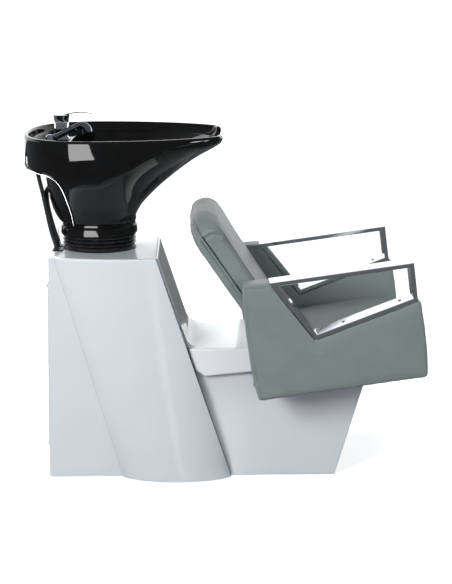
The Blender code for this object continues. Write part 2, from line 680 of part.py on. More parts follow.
def make_hoses():
    drop = HOSE_DROP_X
    spray_feed_y = -0.0385
    spray_return_y = -0.0545
    def behind_bowl(y):
        """Points from the tap recess down the open back of the basin and into the column."""
        return [(-0.4985, y, 0.814), (-0.5030, y, 0.793), (-0.4985, y, 0.752), (-0.4860, y, 0.700),
                (drop, y, 0.660), (drop, y, 0.640), (drop, y, 0.620)]

    down = [(MIXER.x - 0.006, -0.010, 0.9035), (MIXER.x - 0.006, -0.010, 0.892),
            (-0.4660, -0.018, 0.868), (-0.4810, -0.030, 0.841)]
    down += behind_bowl(spray_feed_y)
    down += [(drop + 0.004, spray_feed_y, 0.52), (drop + 0.012, spray_feed_y - 0.006, 0.42),
             (drop + 0.022, spray_feed_y - 0.018, 0.375)]
    back = [(drop + 0.018, spray_return_y - 0.018, 0.40), (drop + 0.006, spray_return_y - 0.008, 0.47),
            (drop, spray_return_y, 0.55), (drop, spray_return_y, 0.620),
            (drop, spray_return_y, 0.640), (drop, spray_return_y, 0.660),
            (-0.4860, spray_return_y, 0.700), (-0.4970, spray_return_y, 0.755),
            (-0.5060, spray_return_y, 0.803), (-0.5175, spray_return_y, 0.855),
            (-0.5205, spray_return_y, 0.880), (-0.5150, -0.056, 0.902), (-0.5000, -0.059, 0.924),
            (SPRAY_SEAT.x - 0.0125, SPRAY_SEAT.y, 0.943), (SPRAY_SEAT.x - 0.012, SPRAY_SEAT.y, 0.9515)]
    hose("spray_hose", down + back, HOSE_RADIUS, BLACK_RUBBER, 0.021)
    feeds = (("cold", -0.0005, 0.0045, -0.020), ("hot", 0.0105, 0.0205, 0.030))
    for label, tail_y, drop_y, valve_y in feeds:
        route = [(MIXER.x + 0.005, tail_y, 0.9035), (MIXER.x + 0.005, tail_y, 0.892),
                 (-0.4580, mix(tail_y, drop_y, 0.4), 0.868), (-0.4760, mix(tail_y, drop_y, 0.8), 0.841)]
        route += behind_bowl(drop_y)
        route += [(drop + 0.004, drop_y, 0.50), (drop + 0.016, valve_y, 0.38),
                  (drop + 0.024, valve_y, 0.27), (drop + 0.024, valve_y, 0.2153)]
        hose(f"feed_hose_{label}", route, FEED_RADIUS, BLACK_RUBBER, 0.022)
        valve = [(0.0, 0.135), (0.009, 0.135), (0.009, 0.150), (0.013, 0.153), (0.013, 0.185),
                 (0.009, 0.188), (0.009, 0.200), (0.007, 0.215), (0.0, 0.215)]
        add_object(f"feed_valve_{label}", turned(valve, (drop + 0.024, valve_y, 0.0), SMALL_ROUND), BRASS)
    for name, slot, holes in (("spray_hose_grommet", SPRAY_SLOT, ((spray_feed_y, HOSE_RADIUS),
                                                                  (spray_return_y, HOSE_RADIUS))),
                              ("feed_hose_grommet", FEED_SLOT, ((0.0045, FEED_RADIUS),
                                                                (0.0205, FEED_RADIUS)))):
        rim = 0.004
        body = block((drop - 0.0092, slot[0] - rim, COLUMN_TOP + GAP),
                     (drop + 0.0205, slot[1] + rim, COLUMN_TOP + 0.003))
        grommet = add_object(name, body, BLACK_RUBBER)
        join(grommet, block((drop - 0.0069, slot[0] + GAP, COLUMN_TOP - 0.009),
                            (drop + 0.0121, slot[1] - GAP, COLUMN_TOP + 0.001)))
        for y, radius in holes:
            cut(grommet, rod((drop, y, 0.62), (drop, y, 0.66), radius + 0.0010))
    chain = [(-0.4645, -0.020, 0.7060), (-0.4690, -0.020, 0.6990), (-0.4675, -0.020, 0.6800),
             (-0.4640, -0.020, 0.6620), (-0.4630, -0.020, COLUMN_TOP + 0.0006)]
    hose("limit_chain", chain, 0.0012, CHROME, 0.005)


# ---------------------------------------------------------------- mixer tap and hand spray
def make_mixer(tilt, swing, lift):
    deck = DECK_HEIGHT + GAP
    body = [(0.0, 0.905), (0.013, 0.905), (0.0130, deck), (0.0245, deck), (0.0250, deck + 0.004),
            (0.0215, deck + 0.008), (0.0210, 1.0045), (0.0, 1.0045)]
    add_object("mixer_body", turned(body, (MIXER.x, 0, 0), 24), CHROME, tilt)
    make_nut("mixer_back_nut", MIXER.x, 0.9250, 0.9400, 0.0178, 0.0134, tilt)

    # the cap turns on the body, and has a slot at its front for the lever's stem
    cap = [(0.0, 1.0050), (0.0212, 1.0050), (0.0216, 1.0120), (0.0236, 1.0235), (0.0230, 1.0250),
           (0.0, 1.0262)]
    cap_obj = add_object("mixer_cap", turned(cap, (MIXER.x, 0, 0), 24), CHROME, swing)
    cut(cap_obj, block((MIXER.x + 0.0035, -0.0066, 1.0100), (MIXER.x + 0.030, 0.0066, 1.0300)))

    # lever blade: root block in the slot, then a thin arched blade
    top_side = []
    under_side = []
    start = MIXER.x + 0.0105
    end = -0.3665
    for i in range(9):
        share = i / 8
        x = mix(start, end, share)
        z = 1.0235 + 0.0105 * math.sin(math.pi * (0.12 + 0.70 * share))
        thick = mix(0.0048, 0.0016, share)
        top_side.append((x, z))
        under_side.append((x, z - thick))
    outline = [(MIXER.x + 0.0068, 1.0140), (MIXER.x + 0.0125, 1.0140)] + under_side[1:]
    outline += top_side[::-1] + [(MIXER.x + 0.0068, 1.0235)]
    lever = add_object("mixer_lever", side_prism(outline, -0.0058, 0.0058), CHROME, lift)
    bevel(lever, 0.0006, 1, 50.0)


def spray_point(along, across=0.0):
    """A point on the hand spray's axis, with an offset square to it in the vertical plane."""
    return SPRAY_SEAT + Vector((math.cos(SPRAY_ANGLE), 0, math.sin(SPRAY_ANGLE))) * along \
        + Vector((-math.sin(SPRAY_ANGLE), 0, math.cos(SPRAY_ANGLE))) * across


def make_spray(tilt, pull):
    deck = DECK_HEIGHT + GAP
    seat_x = SPRAY_SEAT.x - 0.012
    base = [(0.0, deck), (0.0165, deck), (0.0165, deck + 0.003), (0.0135, deck + 0.005),
            (0.0122, deck + 0.014), (0.0075, deck + 0.020), (0.0, deck + 0.0215)]
    holder = add_object("spray_holder", turned(base, (seat_x, SPRAY_SEAT.y, 0), 20), CHROME, tilt)
    join(holder, rod(spray_point(-0.004), spray_point(0.002), 0.0100))
    cut(holder, rod(spray_point(-GAP), spray_point(0.040), 0.030))

    turn = Vector((math.cos(SPRAY_ANGLE), 0, math.sin(SPRAY_ANGLE))).to_track_quat("Z", "Y")
    grip = [(0.0, 0.0), (0.0088, 0.0), (0.0096, 0.006), (0.0085, 0.030), (0.0090, 0.060),
            (0.0094, 0.0660), (0.0, 0.0660)]
    add_object("spray_handle", turned(grip, SPRAY_SEAT, SMALL_ROUND, turn.to_matrix().to_4x4()),
               CHROME, pull)

    # head: bends over from the handle's end to a downward face
    loops = []
    steps = 6
    start = spray_point(0.0666)
    bend = 0.0185
    centre = spray_point(0.0740, -bend)
    for i in range(-1, steps + 2):
        angle = SPRAY_ANGLE - mix(0.0, math.radians(104.0), min(max(i, 0), steps) / steps)
        up = Vector((-math.sin(angle), 0, math.cos(angle)))
        forward = Vector((math.cos(angle), 0, math.sin(angle)))
        middle = centre + up * bend
        radius = mix(0.0092, 0.0135, max(i, 0) / (steps + 1))
        if i < 0:
            middle = start
        if i > steps:
            middle = middle + forward * 0.007
            radius = 0.0138
        loop = []
        for j in range(SMALL_ROUND):
            turn_angle = math.tau * j / SMALL_ROUND
            loop.append(middle + up * radius * math.cos(turn_angle)
                        + Vector((0, 1, 0)) * radius * math.sin(turn_angle))
        loops.append(loop)
    add_object("spray_head", loft(loops), CHROME, pull)


# ---------------------------------------------------------------- chair
ARM_REAR_TOP = Vector((0.120, 0.603))
ARM_FRONT_TOP = Vector((0.509, 0.657))
ARM_FRONT_LOW = Vector((0.523, 0.551))
ARM_VERTEX = Vector((0.2465, 0.4450))


def inset_polygon(points, distance):
    """Move each side of a clockwise or anticlockwise convex polygon inwards."""
    area = sum(a.x * b.y - b.x * a.y for a, b in zip(points, points[1:] + points[:1]))
    sign = 1.0 if area > 0 else -1.0
    moved = []
    count = len(points)
    for i in range(count):
        before, here, after = points[i - 1], points[i], points[(i + 1) % count]
        first = (here - before).normalized()
        second = (after - here).normalized()
        n1 = Vector((-first.y, first.x)) * sign
        n2 = Vector((-second.y, second.x)) * sign
        step = (n1 + n2) / (1.0 + n1.dot(n2))
        moved.append(here + step * distance)
    return moved


def make_arm_loop(side, centre_y):
    """Closed loop of flat bar that drops into the notch of the side panel."""
    corners = [ARM_REAR_TOP, ARM_VERTEX, ARM_FRONT_LOW, ARM_FRONT_TOP]
    inside = inset_polygon(corners, ARM_BAR)
    low, high = centre_y - 0.5 * ARM_BAR_WIDTH, centre_y + 0.5 * ARM_BAR_WIDTH
    bm = bmesh.new()
    rings = []
    for points, y in ((corners, low), (corners, high), (inside, high), (inside, low)):
        rings.append([bm.verts.new((p.x, y, p.y)) for p in points])
    for a, b in zip(rings, rings[1:] + rings[:1]):
        for i in range(4):
            j = (i + 1) % 4
            bm.faces.new((a[i], a[j], b[j], b[i]))
    loop = add_object(f"arm_loop_{side}", bm, CHROME, None, 20.0)
    bevel(loop, 0.0012, 1, 30.0)

    # two countersunk screws hold the loop down to the panel
    spots = ((0.30, ARM_VERTEX, ARM_FRONT_LOW), (0.85, ARM_VERTEX, ARM_FRONT_LOW))
    for number, (share, start, end) in enumerate(spots):
        along = (end - start).normalized()
        normal = Vector((-along.y, along.x))
        foot = start.lerp(end, share) + normal * (ARM_BAR + GAP)
        turn = Vector((normal.x, 0, normal.y)).to_track_quat("Z", "Y").to_matrix().to_4x4()
        head = turned([(0.0, 0.0), (0.0050, 0.0), (0.0040, 0.0016), (0.0, 0.0020)],
                      (foot.x, centre_y, foot.y), 12, turn)
        add_object(f"arm_screw_{side}_{number + 1}", head, CHROME)


def make_side_panel(side, sign):
    """Upholstered side panel with the V notch that takes the arm loop."""
    rear_dir = (ARM_VERTEX - ARM_REAR_TOP).normalized()
    front_dir = (ARM_FRONT_LOW - ARM_VERTEX).normalized()
    rear_out = Vector((rear_dir.y, -rear_dir.x)) * 0.0006
    front_out = Vector((front_dir.y, -front_dir.x)) * 0.0006
    notch = ARM_VERTEX + Vector((0.0, -0.0009))
    outline = [(0.0560, 0.5985), (0.046, 0.590), (0.0485, 0.530), (0.0580, 0.450), (0.0700, 0.370),
               (0.0880, 0.292), (0.096, 0.2735), (0.106, 0.2730),
               (0.545, 0.3355), (0.5565, 0.339), (0.5575, 0.352), (0.5540, 0.410), (0.5450, 0.480),
               (0.5330, 0.5440), (0.5290, 0.5500)]
    outline += [tuple(ARM_FRONT_LOW + front_out), tuple(notch), tuple(ARM_REAR_TOP + rear_out)]
    y0, y1 = sorted((sign * PANEL_INNER, sign * CHAIR_HALF_WIDTH))
    panel = add_object(f"side_panel_{side}", side_prism(outline, y0, y1), LEATHER, None, 25.0)
    return panel


def back_point(along, out):
    """World (x, z) of a point given along the reclined back, downwards, and out from it."""
    return (along * math.sin(BACK_ANGLE) + out * math.cos(BACK_ANGLE),
            -along * math.cos(BACK_ANGLE) + out * math.sin(BACK_ANGLE))


def back_section(outline, y, seam):
    """Section of the backrest at a width y: its top falls away and its face thins at the sides."""
    edge = max(0.0, (abs(y) - 0.080) / (CUSHION_HALF_WIDTH - 0.080))
    loop = []
    for along, out in outline:
        upper = max(0.0, (-along - 0.500) / 0.180)
        drop = 0.046 * upper * edge ** 2.2
        if out > seam + 0.001:
            out = mix(out, min(out, seam + 0.044), edge ** 4)
        x, z = back_point(along + drop, out)
        loop.append((x, y, z))
    return loop


def make_chair():
    for side, sign in (("right", -1.0), ("left", 1.0)):
        make_side_panel(side, sign)
        make_arm_loop(side, sign * 0.5 * (PANEL_INNER + CHAIR_HALF_WIDTH))

    board_low = SEAT_DECK_HEIGHT + 0.0185
    cushion_low = board_low + 0.015 + GAP
    seat = [(0.106, seat_line(0.106, cushion_low) + 0.006), (0.112, seat_line(0.112, cushion_low)),
            (0.535, seat_line(0.535, cushion_low)), (0.545, seat_line(0.545, cushion_low) + 0.010),
            (0.547, 0.400), (0.540, 0.428), (0.515, 0.4435), (0.440, 0.4420), (0.340, 0.4330),
            (0.240, 0.4220), (0.160, 0.4120), (0.116, 0.4020), (0.106, 0.392)]
    cushion = add_object("seat_cushion", side_prism(seat, -CUSHION_HALF_WIDTH, CUSHION_HALF_WIDTH),
                         LEATHER, None, 50.0)
    bevel(cushion, 0.012, 2, 60.0)
    board = [(0.102, seat_line(0.102, board_low)), (0.540, seat_line(0.540, board_low)),
             (0.540, seat_line(0.540, board_low) + 0.015), (0.102, seat_line(0.102, board_low) + 0.015)]
    add_object("seat_board", side_prism(board, -0.2505, 0.2505), PLYWOOD)
    for place, x in (("rear", 0.140), ("front", 0.345)):
        rail = [(x - 0.02, seat_line(x - 0.02) + GAP), (x + 0.02, seat_line(x + 0.02) + GAP),
                (x + 0.02, seat_line(x + 0.02) + 0.0182), (x - 0.02, seat_line(x - 0.02) + 0.0182)]
        add_object(f"seat_rail_{place}", side_prism(rail, -0.235, 0.235), PLYWOOD)

    rear, seam, front = 0.3316, 0.3525, 0.3995
    cover = [(-0.300, rear), (-0.290, rear + 0.010), (-0.290, seam), (-0.500, seam), (-0.668, seam),
             (-0.656, rear + 0.008), (-0.638, rear), (-0.500, rear)]
    pad = [(-0.290, seam + GAP), (-0.290, front), (-0.300, front + 0.004), (-0.500, front + 0.006),
           (-0.600, front + 0.013), (-0.638, front + 0.012), (-0.658, front + 0.002), (-0.671, 0.382),
           (-0.675, 0.366), (-0.671, seam + GAP), (-0.500, seam + GAP)]
    for name, outline in (("backrest_cover", cover), ("backrest_cushion", pad)):
        loops = [back_section(outline, y, seam) for y in
                 (-CUSHION_HALF_WIDTH, -0.236, -0.215, -0.180, -0.130, 0.130, 0.180, 0.215, 0.236,
                  CUSHION_HALF_WIDTH)]
        add_object(name, loft(loops), LEATHER, None, 50.0)
    spacer_x, spacer_z = back_point(-0.360, 0.376)
    for side, sign in (("right", -1.0), ("left", 1.0)):
        start = (spacer_x, sign * (CUSHION_HALF_WIDTH + GAP), spacer_z)
        end = (spacer_x, sign * (PANEL_INNER - GAP), spacer_z)
        add_object(f"back_spacer_{side}", rod(start, end, 0.011), BLACK_STEEL)


def main():
    clear_scene()
    tilt = axis_empty("tilt_axis", PIVOT)
    swing = axis_empty("lever_swing_axis", (MIXER.x, 0.0, 1.015), tilt)
    lift = axis_empty("lever_lift_axis", (MIXER.x + 0.0085, 0.0, 1.0175), swing)
    pull = axis_empty("spray_axis", SPRAY_SEAT, tilt)
    make_column()
    make_rear_panel()
    make_plinth()
    make_saddle()
    make_frame()
    make_tilt_mechanism(tilt)
    make_bellows()
    make_basin(tilt)
    make_waste(tilt)
    make_hoses()
    make_mixer(tilt, swing, lift)
    make_spray(tilt, pull)
    make_chair()


main()
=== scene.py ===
"""Looks of the shampoo backwash unit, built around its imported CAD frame."""
import math

import bmesh
import bpy
import numpy as np
from mathutils import Matrix, Vector, noise
from mathutils.bvhtree import BVHTree


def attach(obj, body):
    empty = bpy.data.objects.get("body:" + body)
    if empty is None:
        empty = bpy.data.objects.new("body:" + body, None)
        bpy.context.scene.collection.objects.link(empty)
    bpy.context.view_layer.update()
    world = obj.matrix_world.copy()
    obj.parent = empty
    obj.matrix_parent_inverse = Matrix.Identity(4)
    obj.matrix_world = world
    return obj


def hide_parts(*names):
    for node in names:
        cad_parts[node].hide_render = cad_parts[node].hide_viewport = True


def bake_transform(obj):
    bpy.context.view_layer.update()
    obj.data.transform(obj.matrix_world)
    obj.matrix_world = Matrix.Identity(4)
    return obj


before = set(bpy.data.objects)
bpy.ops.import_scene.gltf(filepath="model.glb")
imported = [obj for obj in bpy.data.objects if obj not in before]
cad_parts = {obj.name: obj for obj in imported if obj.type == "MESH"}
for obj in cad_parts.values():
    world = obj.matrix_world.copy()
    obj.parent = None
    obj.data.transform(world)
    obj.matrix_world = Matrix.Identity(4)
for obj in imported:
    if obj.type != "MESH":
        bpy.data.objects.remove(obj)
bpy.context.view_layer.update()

# ---------------------------------------------------------------- sizes, in metres, as in the CAD
GAP = 0.0003
SHELL_WALL = 0.005
SHELL_BOTTOM = 0.003
SHELL_HALF_WIDTH = 0.159
FLANK_HALF_WIDTH_TOP = 0.149
COLUMN_TOP = 0.645
COLUMN_REAR = (-0.500, -0.488)          # at the floor, at the top
COLUMN_FRONT = (0.024, -0.188)
BULGE_MID = (-0.1325, -0.2700)
BULGE_HALF = (0.1565, 0.2050)
BULGE_DEPTH = (0.058, 0.047)
PLINTH_FRONT_FLOOR = 0.321
PLINTH_FRONT_LEAN = 0.2955
SEAT_DECK_HEIGHT = 0.2685
SEAT_REAR = 0.100
SEAT_SLOPE = 0.080
TRAY_TOP = 0.385
TRAY_HALF_WIDTH = 0.179
TRAY_FRONT = 0.0935
PIVOT = Vector((-0.353, 0.0, 0.672))
FOOT_BOTTOM = 0.690
DECK_HEIGHT = 0.955
RIM_HEIGHT = 0.980
BASIN_MID_X = -0.350
REAR_FULLNESS = 2.5
MIXER = Vector((-0.4545, 0.0, DECK_HEIGHT))
SPRAY_SEAT = Vector((-0.470, -0.062, 0.967))
SPRAY_ANGLE = math.radians(26.0)
HOSE_RADIUS = 0.0060
FEED_RADIUS = 0.0050
HOSE_DROP_X = -0.4745
CHAIR_HALF_WIDTH = 0.320
PANEL_INNER = 0.252
CUSHION_HALF_WIDTH = 0.2445
BACK_ANGLE = math.radians(34.5)
ARM_REAR_TOP = Vector((0.120, 0.603))
ARM_FRONT_LOW = Vector((0.523, 0.551))
ARM_VERTEX = Vector((0.2465, 0.4450))


# ---------------------------------------------------------------- mesh helpers
def mix(low, high, share):
    """The value a share of the way from low to high."""
    return low + (high - low) * share


def ease(share):
    """A soft step from 0 to 1."""
    share = min(1.0, max(0.0, share))
    return share * share * (3.0 - 2.0 * share)


def new_mesh_object(name, points, faces, look, smooth=35.0):
    """An object with its faces turned out, shaded smooth below an edge angle in degrees."""
    mesh = bpy.data.meshes.new(name)
    mesh.from_pydata([tuple(p) for p in points], [], faces)
    bm = bmesh.new()
    bm.from_mesh(mesh)
    bmesh.ops.recalc_face_normals(bm, faces=bm.faces)
    bm.to_mesh(mesh)
    bm.free()
    mesh.materials.append(look)
    mesh.shade_smooth()
    obj = bpy.data.objects.new(name, mesh)
    keep_sharp(obj, smooth)
    bpy.context.scene.collection.objects.link(obj)
    return obj


def piece(name, shape, look, body, stands_for=(), smooth=35.0):
    """A finished piece that rides on a CAD body and stands for CAD nodes."""
    obj = new_mesh_object(name, *shape, look, smooth)
    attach(obj, body)
    if stands_for:
        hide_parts(*stands_for)
    return obj


def settle_on(obj, body, node):
    """The piece rides on a CAD body and stands for a CAD node."""
    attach(obj, body)
    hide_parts(node)


def hang_between(obj, node):
    """The piece runs from the base to the bowl; its placing is baked into its mesh, and it stands for a
    CAD node.
    """
    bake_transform(obj)
    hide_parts(node)


def merged(shapes):
    """One (points, faces) from several."""
    points, faces = [], []
    for shape_points, shape_faces in shapes:
        first = len(points)
        points += [Vector(p) for p in shape_points]
        faces += [tuple(first + i for i in face) for face in shape_faces]
    return points, faces


def loft(loops, closed=False):
    """Skin through loops of equal point count, capped at both ends or closed on itself."""
    count = len(loops[0])
    points = [p for loop in loops for p in loop]
    faces = []
    pairs = [(k, k + 1) for k in range(len(loops) - 1)]
    if closed:
        pairs.append((len(loops) - 1, 0))
    for low, high in pairs:
        for i in range(count):
            j = (i + 1) % count
            faces.append((low * count + i, low * count + j, high * count + j, high * count + i))
    if not closed:
        faces.append(tuple(range(count))[::-1])
        faces.append(tuple((len(loops) - 1) * count + i for i in range(count)))
    return points, faces


def prism(outline, y_low, y_high):
    """An outline in X and Z, extruded across the object."""
    return loft([[Vector((x, y, z)) for x, z in outline] for y in (y_low, y_high)])


def block(low, high):
    (x0, y0, z0), (x1, y1, z1) = low, high
    return prism([(x0, z0), (x1, z0), (x1, z1), (x0, z1)], y0, y1)


def turned(profile, centre, segments=64, turn=None):
    """Revolve (radius, height) points about Z; a profile off the axis closes into a ring."""
    placing = Matrix.Translation(centre)
    if turn is not None:
        placing = placing @ turn
    points, rings, faces = [], [], []
    for radius, height in profile:
        count = 1 if radius == 0.0 else segments
        rings.append([len(points) + i for i in range(count)])
        for i in range(count):
            angle = math.tau * i / segments
            place = Vector((radius * math.cos(angle), radius * math.sin(angle), height))
            points.append(placing @ place)
    pairs = list(zip(rings, rings[1:]))
    if profile[0][0] != 0.0:
        pairs.append((rings[-1], rings[0]))
    for low, high in pairs:
        for i in range(segments):
            j = (i + 1) % segments
            corners = (low[i % len(low)], low[j % len(low)],
                       high[j % len(high)], high[i % len(high)])
            faces.append(tuple(dict.fromkeys(corners)))
    return points, faces


def axis_turn(direction):
    """The turn that points +Z along a direction."""
    return Vector(direction).to_track_quat("Z", "Y").to_matrix().to_4x4()


def rod(start, end, radius, segments=32):
    span = Vector(end) - Vector(start)
    profile = [(0.0, 0.0), (radius, 0.0), (radius, span.length), (0.0, span.length)]
    return turned(profile, Vector(start), segments, axis_turn(span))


def ball(centre, radius, segments=12):
    steps = segments // 2
    profile = [(radius * math.sin(math.pi * i / steps) if 0 < i < steps else 0.0,
                -radius * math.cos(math.pi * i / steps)) for i in range(steps + 1)]
    return turned(profile, Vector(centre), segments)


def wire_ring(centre, axis, ring_radius, wire_radius, segments=28, sides=10):
    profile = [(ring_radius + wire_radius * math.cos(math.tau * i / sides),
                wire_radius * math.sin(math.tau * i / sides)) for i in range(sides)]
    return turned(profile, Vector(centre), segments, axis_turn(axis))


def catmull(points, steps=24):
    """Dense points of a Catmull-Rom curve through the given ones."""
    knots = [Vector(p) for p in points]
    knots = [knots[0] * 2 - knots[1]] + knots + [knots[-1] * 2 - knots[-2]]
    fine = []
    for a, b, c, d in zip(knots, knots[1:], knots[2:], knots[3:]):
        for step in range(steps):
            t = step / steps
            fine.append(0.5 * (2 * b + (c - a) * t + (2 * a - 5 * b + 4 * c - d) * t * t
                               + (3 * b - a - 3 * c + d) * t ** 3))
    fine.append(knots[-2])
    return fine


def resample(points, spacing):
    """Points at even spacing along a polyline."""
    points = [Vector(p) for p in points]
    steps = [(q - p).length for p, q in zip(points, points[1:])]
    total = sum(steps)
    count = max(1, round(total / spacing))
    route, walked, k = [], 0.0, 0
    for i in range(count + 1):
        target = total * i / count
        while k < len(steps) - 1 and walked + steps[k] < target:
            walked += steps[k]
            k += 1
        share = (target - walked) / steps[k] if steps[k] > 0 else 0.0
        route.append(points[k].lerp(points[k + 1], min(1.0, share)))
    return route


def tube(route, radius, sides=12, closed=False):
    """Tube along a route. radius is a number, or a function of (angle, distance along)."""
    count = len(route)
    loops, walked = [], 0.0
    across = None
    for k in range(count):
        before = route[k - 1] if (k > 0 or closed) else route[k]
        after = route[(k + 1) % count] if (k < count - 1 or closed) else route[k]
        forward = (after - before).normalized()
        if across is None:
            across = forward.orthogonal().normalized()
        across = (across - forward * across.dot(forward)).normalized()
        up = forward.cross(across)
        loop = []
        for i in range(sides):
            angle = math.tau * i / sides
            size = radius(angle, walked) if callable(radius) else radius
            loop.append(route[k] + (across * math.cos(angle) + up * math.sin(angle)) * size)
        loops.append(loop)
        if k < count - 1:
            walked += (route[k + 1] - route[k]).length
    return loft(loops, closed)


def cut(obj, shape):
    """Cut a closed shape out of an object, at once."""
    tool = new_mesh_object("cutter", *shape, obj.data.materials[0])
    boolean = obj.modifiers.new("cut", "BOOLEAN")
    boolean.operation = "DIFFERENCE"
    boolean.solver = "EXACT"
    boolean.object = tool
    bake(obj)
    bpy.data.objects.remove(tool)


def bake(obj):
    """Replace the object's mesh with the one its modifiers make, and drop them."""
    evaluated = obj.evaluated_get(bpy.context.evaluated_depsgraph_get())
    mesh = bpy.data.meshes.new_from_object(evaluated)
    obj.modifiers.clear()
    obj.data = mesh


def keep_sharp(obj, angle):
    obj.data.set_sharp_from_angle(angle=math.radians(angle))


def round_edges(obj, width, segments, angle):
    """Bevel the edges sharper than an angle in degrees."""
    modifier = obj.modifiers.new("edges", "BEVEL")
    modifier.width = width
    modifier.segments = segments
    modifier.limit_method = "ANGLE"
    modifier.angle_limit = math.radians(angle)
    modifier.harden_normals = True


# ---------------------------------------------------------------- materials
class Look:
    """A Principled material and short ways to drive it from textures in object space."""

    def __init__(self, name, colour, roughness, metallic=0.0):
        self.material = bpy.data.materials.new(name)
        self.material.use_nodes = True
        self.nodes = self.material.node_tree.nodes
        self.links = self.material.node_tree.links
        self.shader = self.nodes["Principled BSDF"]
        self.shader.inputs["Base Color"].default_value = (*colour, 1.0)
        self.shader.inputs["Roughness"].default_value = roughness
        self.shader.inputs["Metallic"].default_value = metallic
        self.place = self.nodes.new("ShaderNodeTexCoord").outputs["Object"]
        self.height = None

    def set(self, **values):
        """Set the shader's own sockets, named with underscores."""
        for name, value in values.items():
            self.shader.inputs[name.replace("_", " ")].default_value = value
        return self

    def stretched(self, scale):
        mapping = self.nodes.new("ShaderNodeMapping")
        mapping.inputs["Scale"].default_value = scale
        self.links.new(self.place, mapping.inputs["Vector"])
        return mapping.outputs["Vector"]

    def noise(self, scale, detail=3.0, stretch=None):
        node = self.nodes.new("ShaderNodeTexNoise")
        node.inputs["Scale"].default_value = scale
        node.inputs["Detail"].default_value = detail
        source = self.place if stretch is None else self.stretched(stretch)
        self.links.new(source, node.inputs["Vector"])
        return node.outputs["Fac"]

    def grain(self, scale):
        """Soft cells, as in embossed leather."""
        node = self.nodes.new("ShaderNodeTexVoronoi")
        node.feature = "SMOOTH_F1"
        node.inputs["Scale"].default_value = scale
        node.inputs["Randomness"].default_value = 1.0
        self.links.new(self.place, node.inputs["Vector"])
        return node.outputs["Distance"]

    def vary_colour(self, factor, dark, light):
        ramp = self.nodes.new("ShaderNodeValToRGB")
        for stop, position, colour in zip(ramp.color_ramp.elements, (0.35, 0.65), (dark, light)):
            stop.position = position
            stop.color = (*colour, 1.0)
        self.links.new(factor, ramp.inputs["Fac"])
        self.links.new(ramp.outputs["Color"], self.shader.inputs["Base Color"])
        return self

    def vary_roughness(self, factor, low, high):
        spread = self.nodes.new("ShaderNodeMapRange")
        spread.inputs["To Min"].default_value = low
        spread.inputs["To Max"].default_value = high
        self.links.new(factor, spread.inputs["Value"])
        self.links.new(spread.outputs["Result"], self.shader.inputs["Roughness"])
        return self

    def bump(self, factor, distance, strength=1.0):
        node = self.nodes.new("ShaderNodeBump")
        node.inputs["Strength"].default_value = strength
        node.inputs["Distance"].default_value = distance
        self.links.new(factor, node.inputs["Height"])
        if self.height is not None:
            self.links.new(self.height, node.inputs["Normal"])
        self.height = node.outputs["Normal"]
        self.links.new(self.height, self.shader.inputs["Normal"])
        return self


def black_glaze():
    look = Look("black_glaze", (0.004, 0.004, 0.0045), 0.05).set(IOR=1.42)
    look.vary_colour(look.noise(22.0), (0.0035, 0.0034, 0.0034), (0.0055, 0.0056, 0.0060))
    look.vary_roughness(look.noise(60.0, 2.0), 0.025, 0.07)
    look.bump(look.noise(7.0, 1.0), 0.0009, 0.35)
    return look.material


def gloss_moulding(name, dark, light):
    look = Look(name, light, 0.14).set(Coat_Weight=0.35, Coat_Roughness=0.06)
    look.vary_colour(look.noise(5.0, 4.0), dark, light)
    look.vary_roughness(look.noise(130.0, 2.0), 0.12, 0.22)
    look.bump(look.noise(3.2, 1.0), 0.0012, 0.25)
    look.bump(look.noise(420.0, 1.0), 0.00004, 0.25)
    return look.material


def leatherette():
    look = Look("leatherette", (0.235, 0.273, 0.262), 0.42).set(Specular_IOR_Level=0.42)
    look.vary_colour(look.noise(14.0, 6.0), (0.219, 0.256, 0.246), (0.238, 0.276, 0.265))
    look.vary_roughness(look.noise(140.0, 3.0), 0.36, 0.52)
    look.bump(look.noise(70.0, 3.0), 0.0004, 0.15)
    look.bump(look.grain(900.0), 0.00022, 0.55)
    look.bump(look.noise(2600.0, 2.0), 0.00005, 0.4)
    return look.material


def thread():
    look = Look("thread", (0.17, 0.20, 0.195), 0.65)
    look.vary_colour(look.noise(900.0, 2.0), (0.14, 0.17, 0.165), (0.21, 0.245, 0.235))
    look.bump(look.noise(2500.0, 2.0), 0.0001, 0.5)
    return look.material


def rubber(name, roughness=0.30):
    look = Look(name, (0.012, 0.012, 0.013), roughness)
    look.vary_colour(look.noise(40.0, 4.0), (0.008, 0.008, 0.009), (0.018, 0.018, 0.019))
    look.vary_roughness(look.noise(90.0, 3.0), roughness - 0.07, roughness + 0.12)
    look.bump(look.noise(700.0, 2.0), 0.00006, 0.5)
    return look.material


def braid():
    look = Look("braid", (0.016, 0.017, 0.018), 0.38)
    look.vary_colour(look.noise(1500.0, 2.0), (0.007, 0.007, 0.008), (0.045, 0.047, 0.05))
    look.vary_roughness(look.noise(300.0, 2.0), 0.28, 0.5)
    return look.material


def chrome(name, colour=(0.78, 0.80, 0.82), roughness=0.05):
    look = Look(name, colour, roughness, 1.0)
    look.vary_roughness(look.noise(35.0, 3.0), roughness, roughness + 0.035)
    return look.material


def turned_metal(name, colour, roughness):
    look = Look(name, colour, roughness, 1.0)
    look.vary_roughness(look.noise(240.0, 3.0, (1.0, 1.0, 6.0)), roughness - 0.08, roughness + 0.12)
    look.bump(look.noise(800.0, 2.0, (1.0, 1.0, 8.0)), 0.00005, 0.4)
    return look.material


def powder_coat():
    look = Look("powder_coat", (0.02, 0.02, 0.021), 0.5)
    look.vary_colour(look.noise(80.0, 3.0), (0.016, 0.016, 0.017), (0.026, 0.026, 0.027))
    look.vary_roughness(look.noise(200.0, 3.0), 0.42, 0.6)
    look.bump(look.noise(1200.0, 2.0), 0.0001, 0.6)
    return look.material


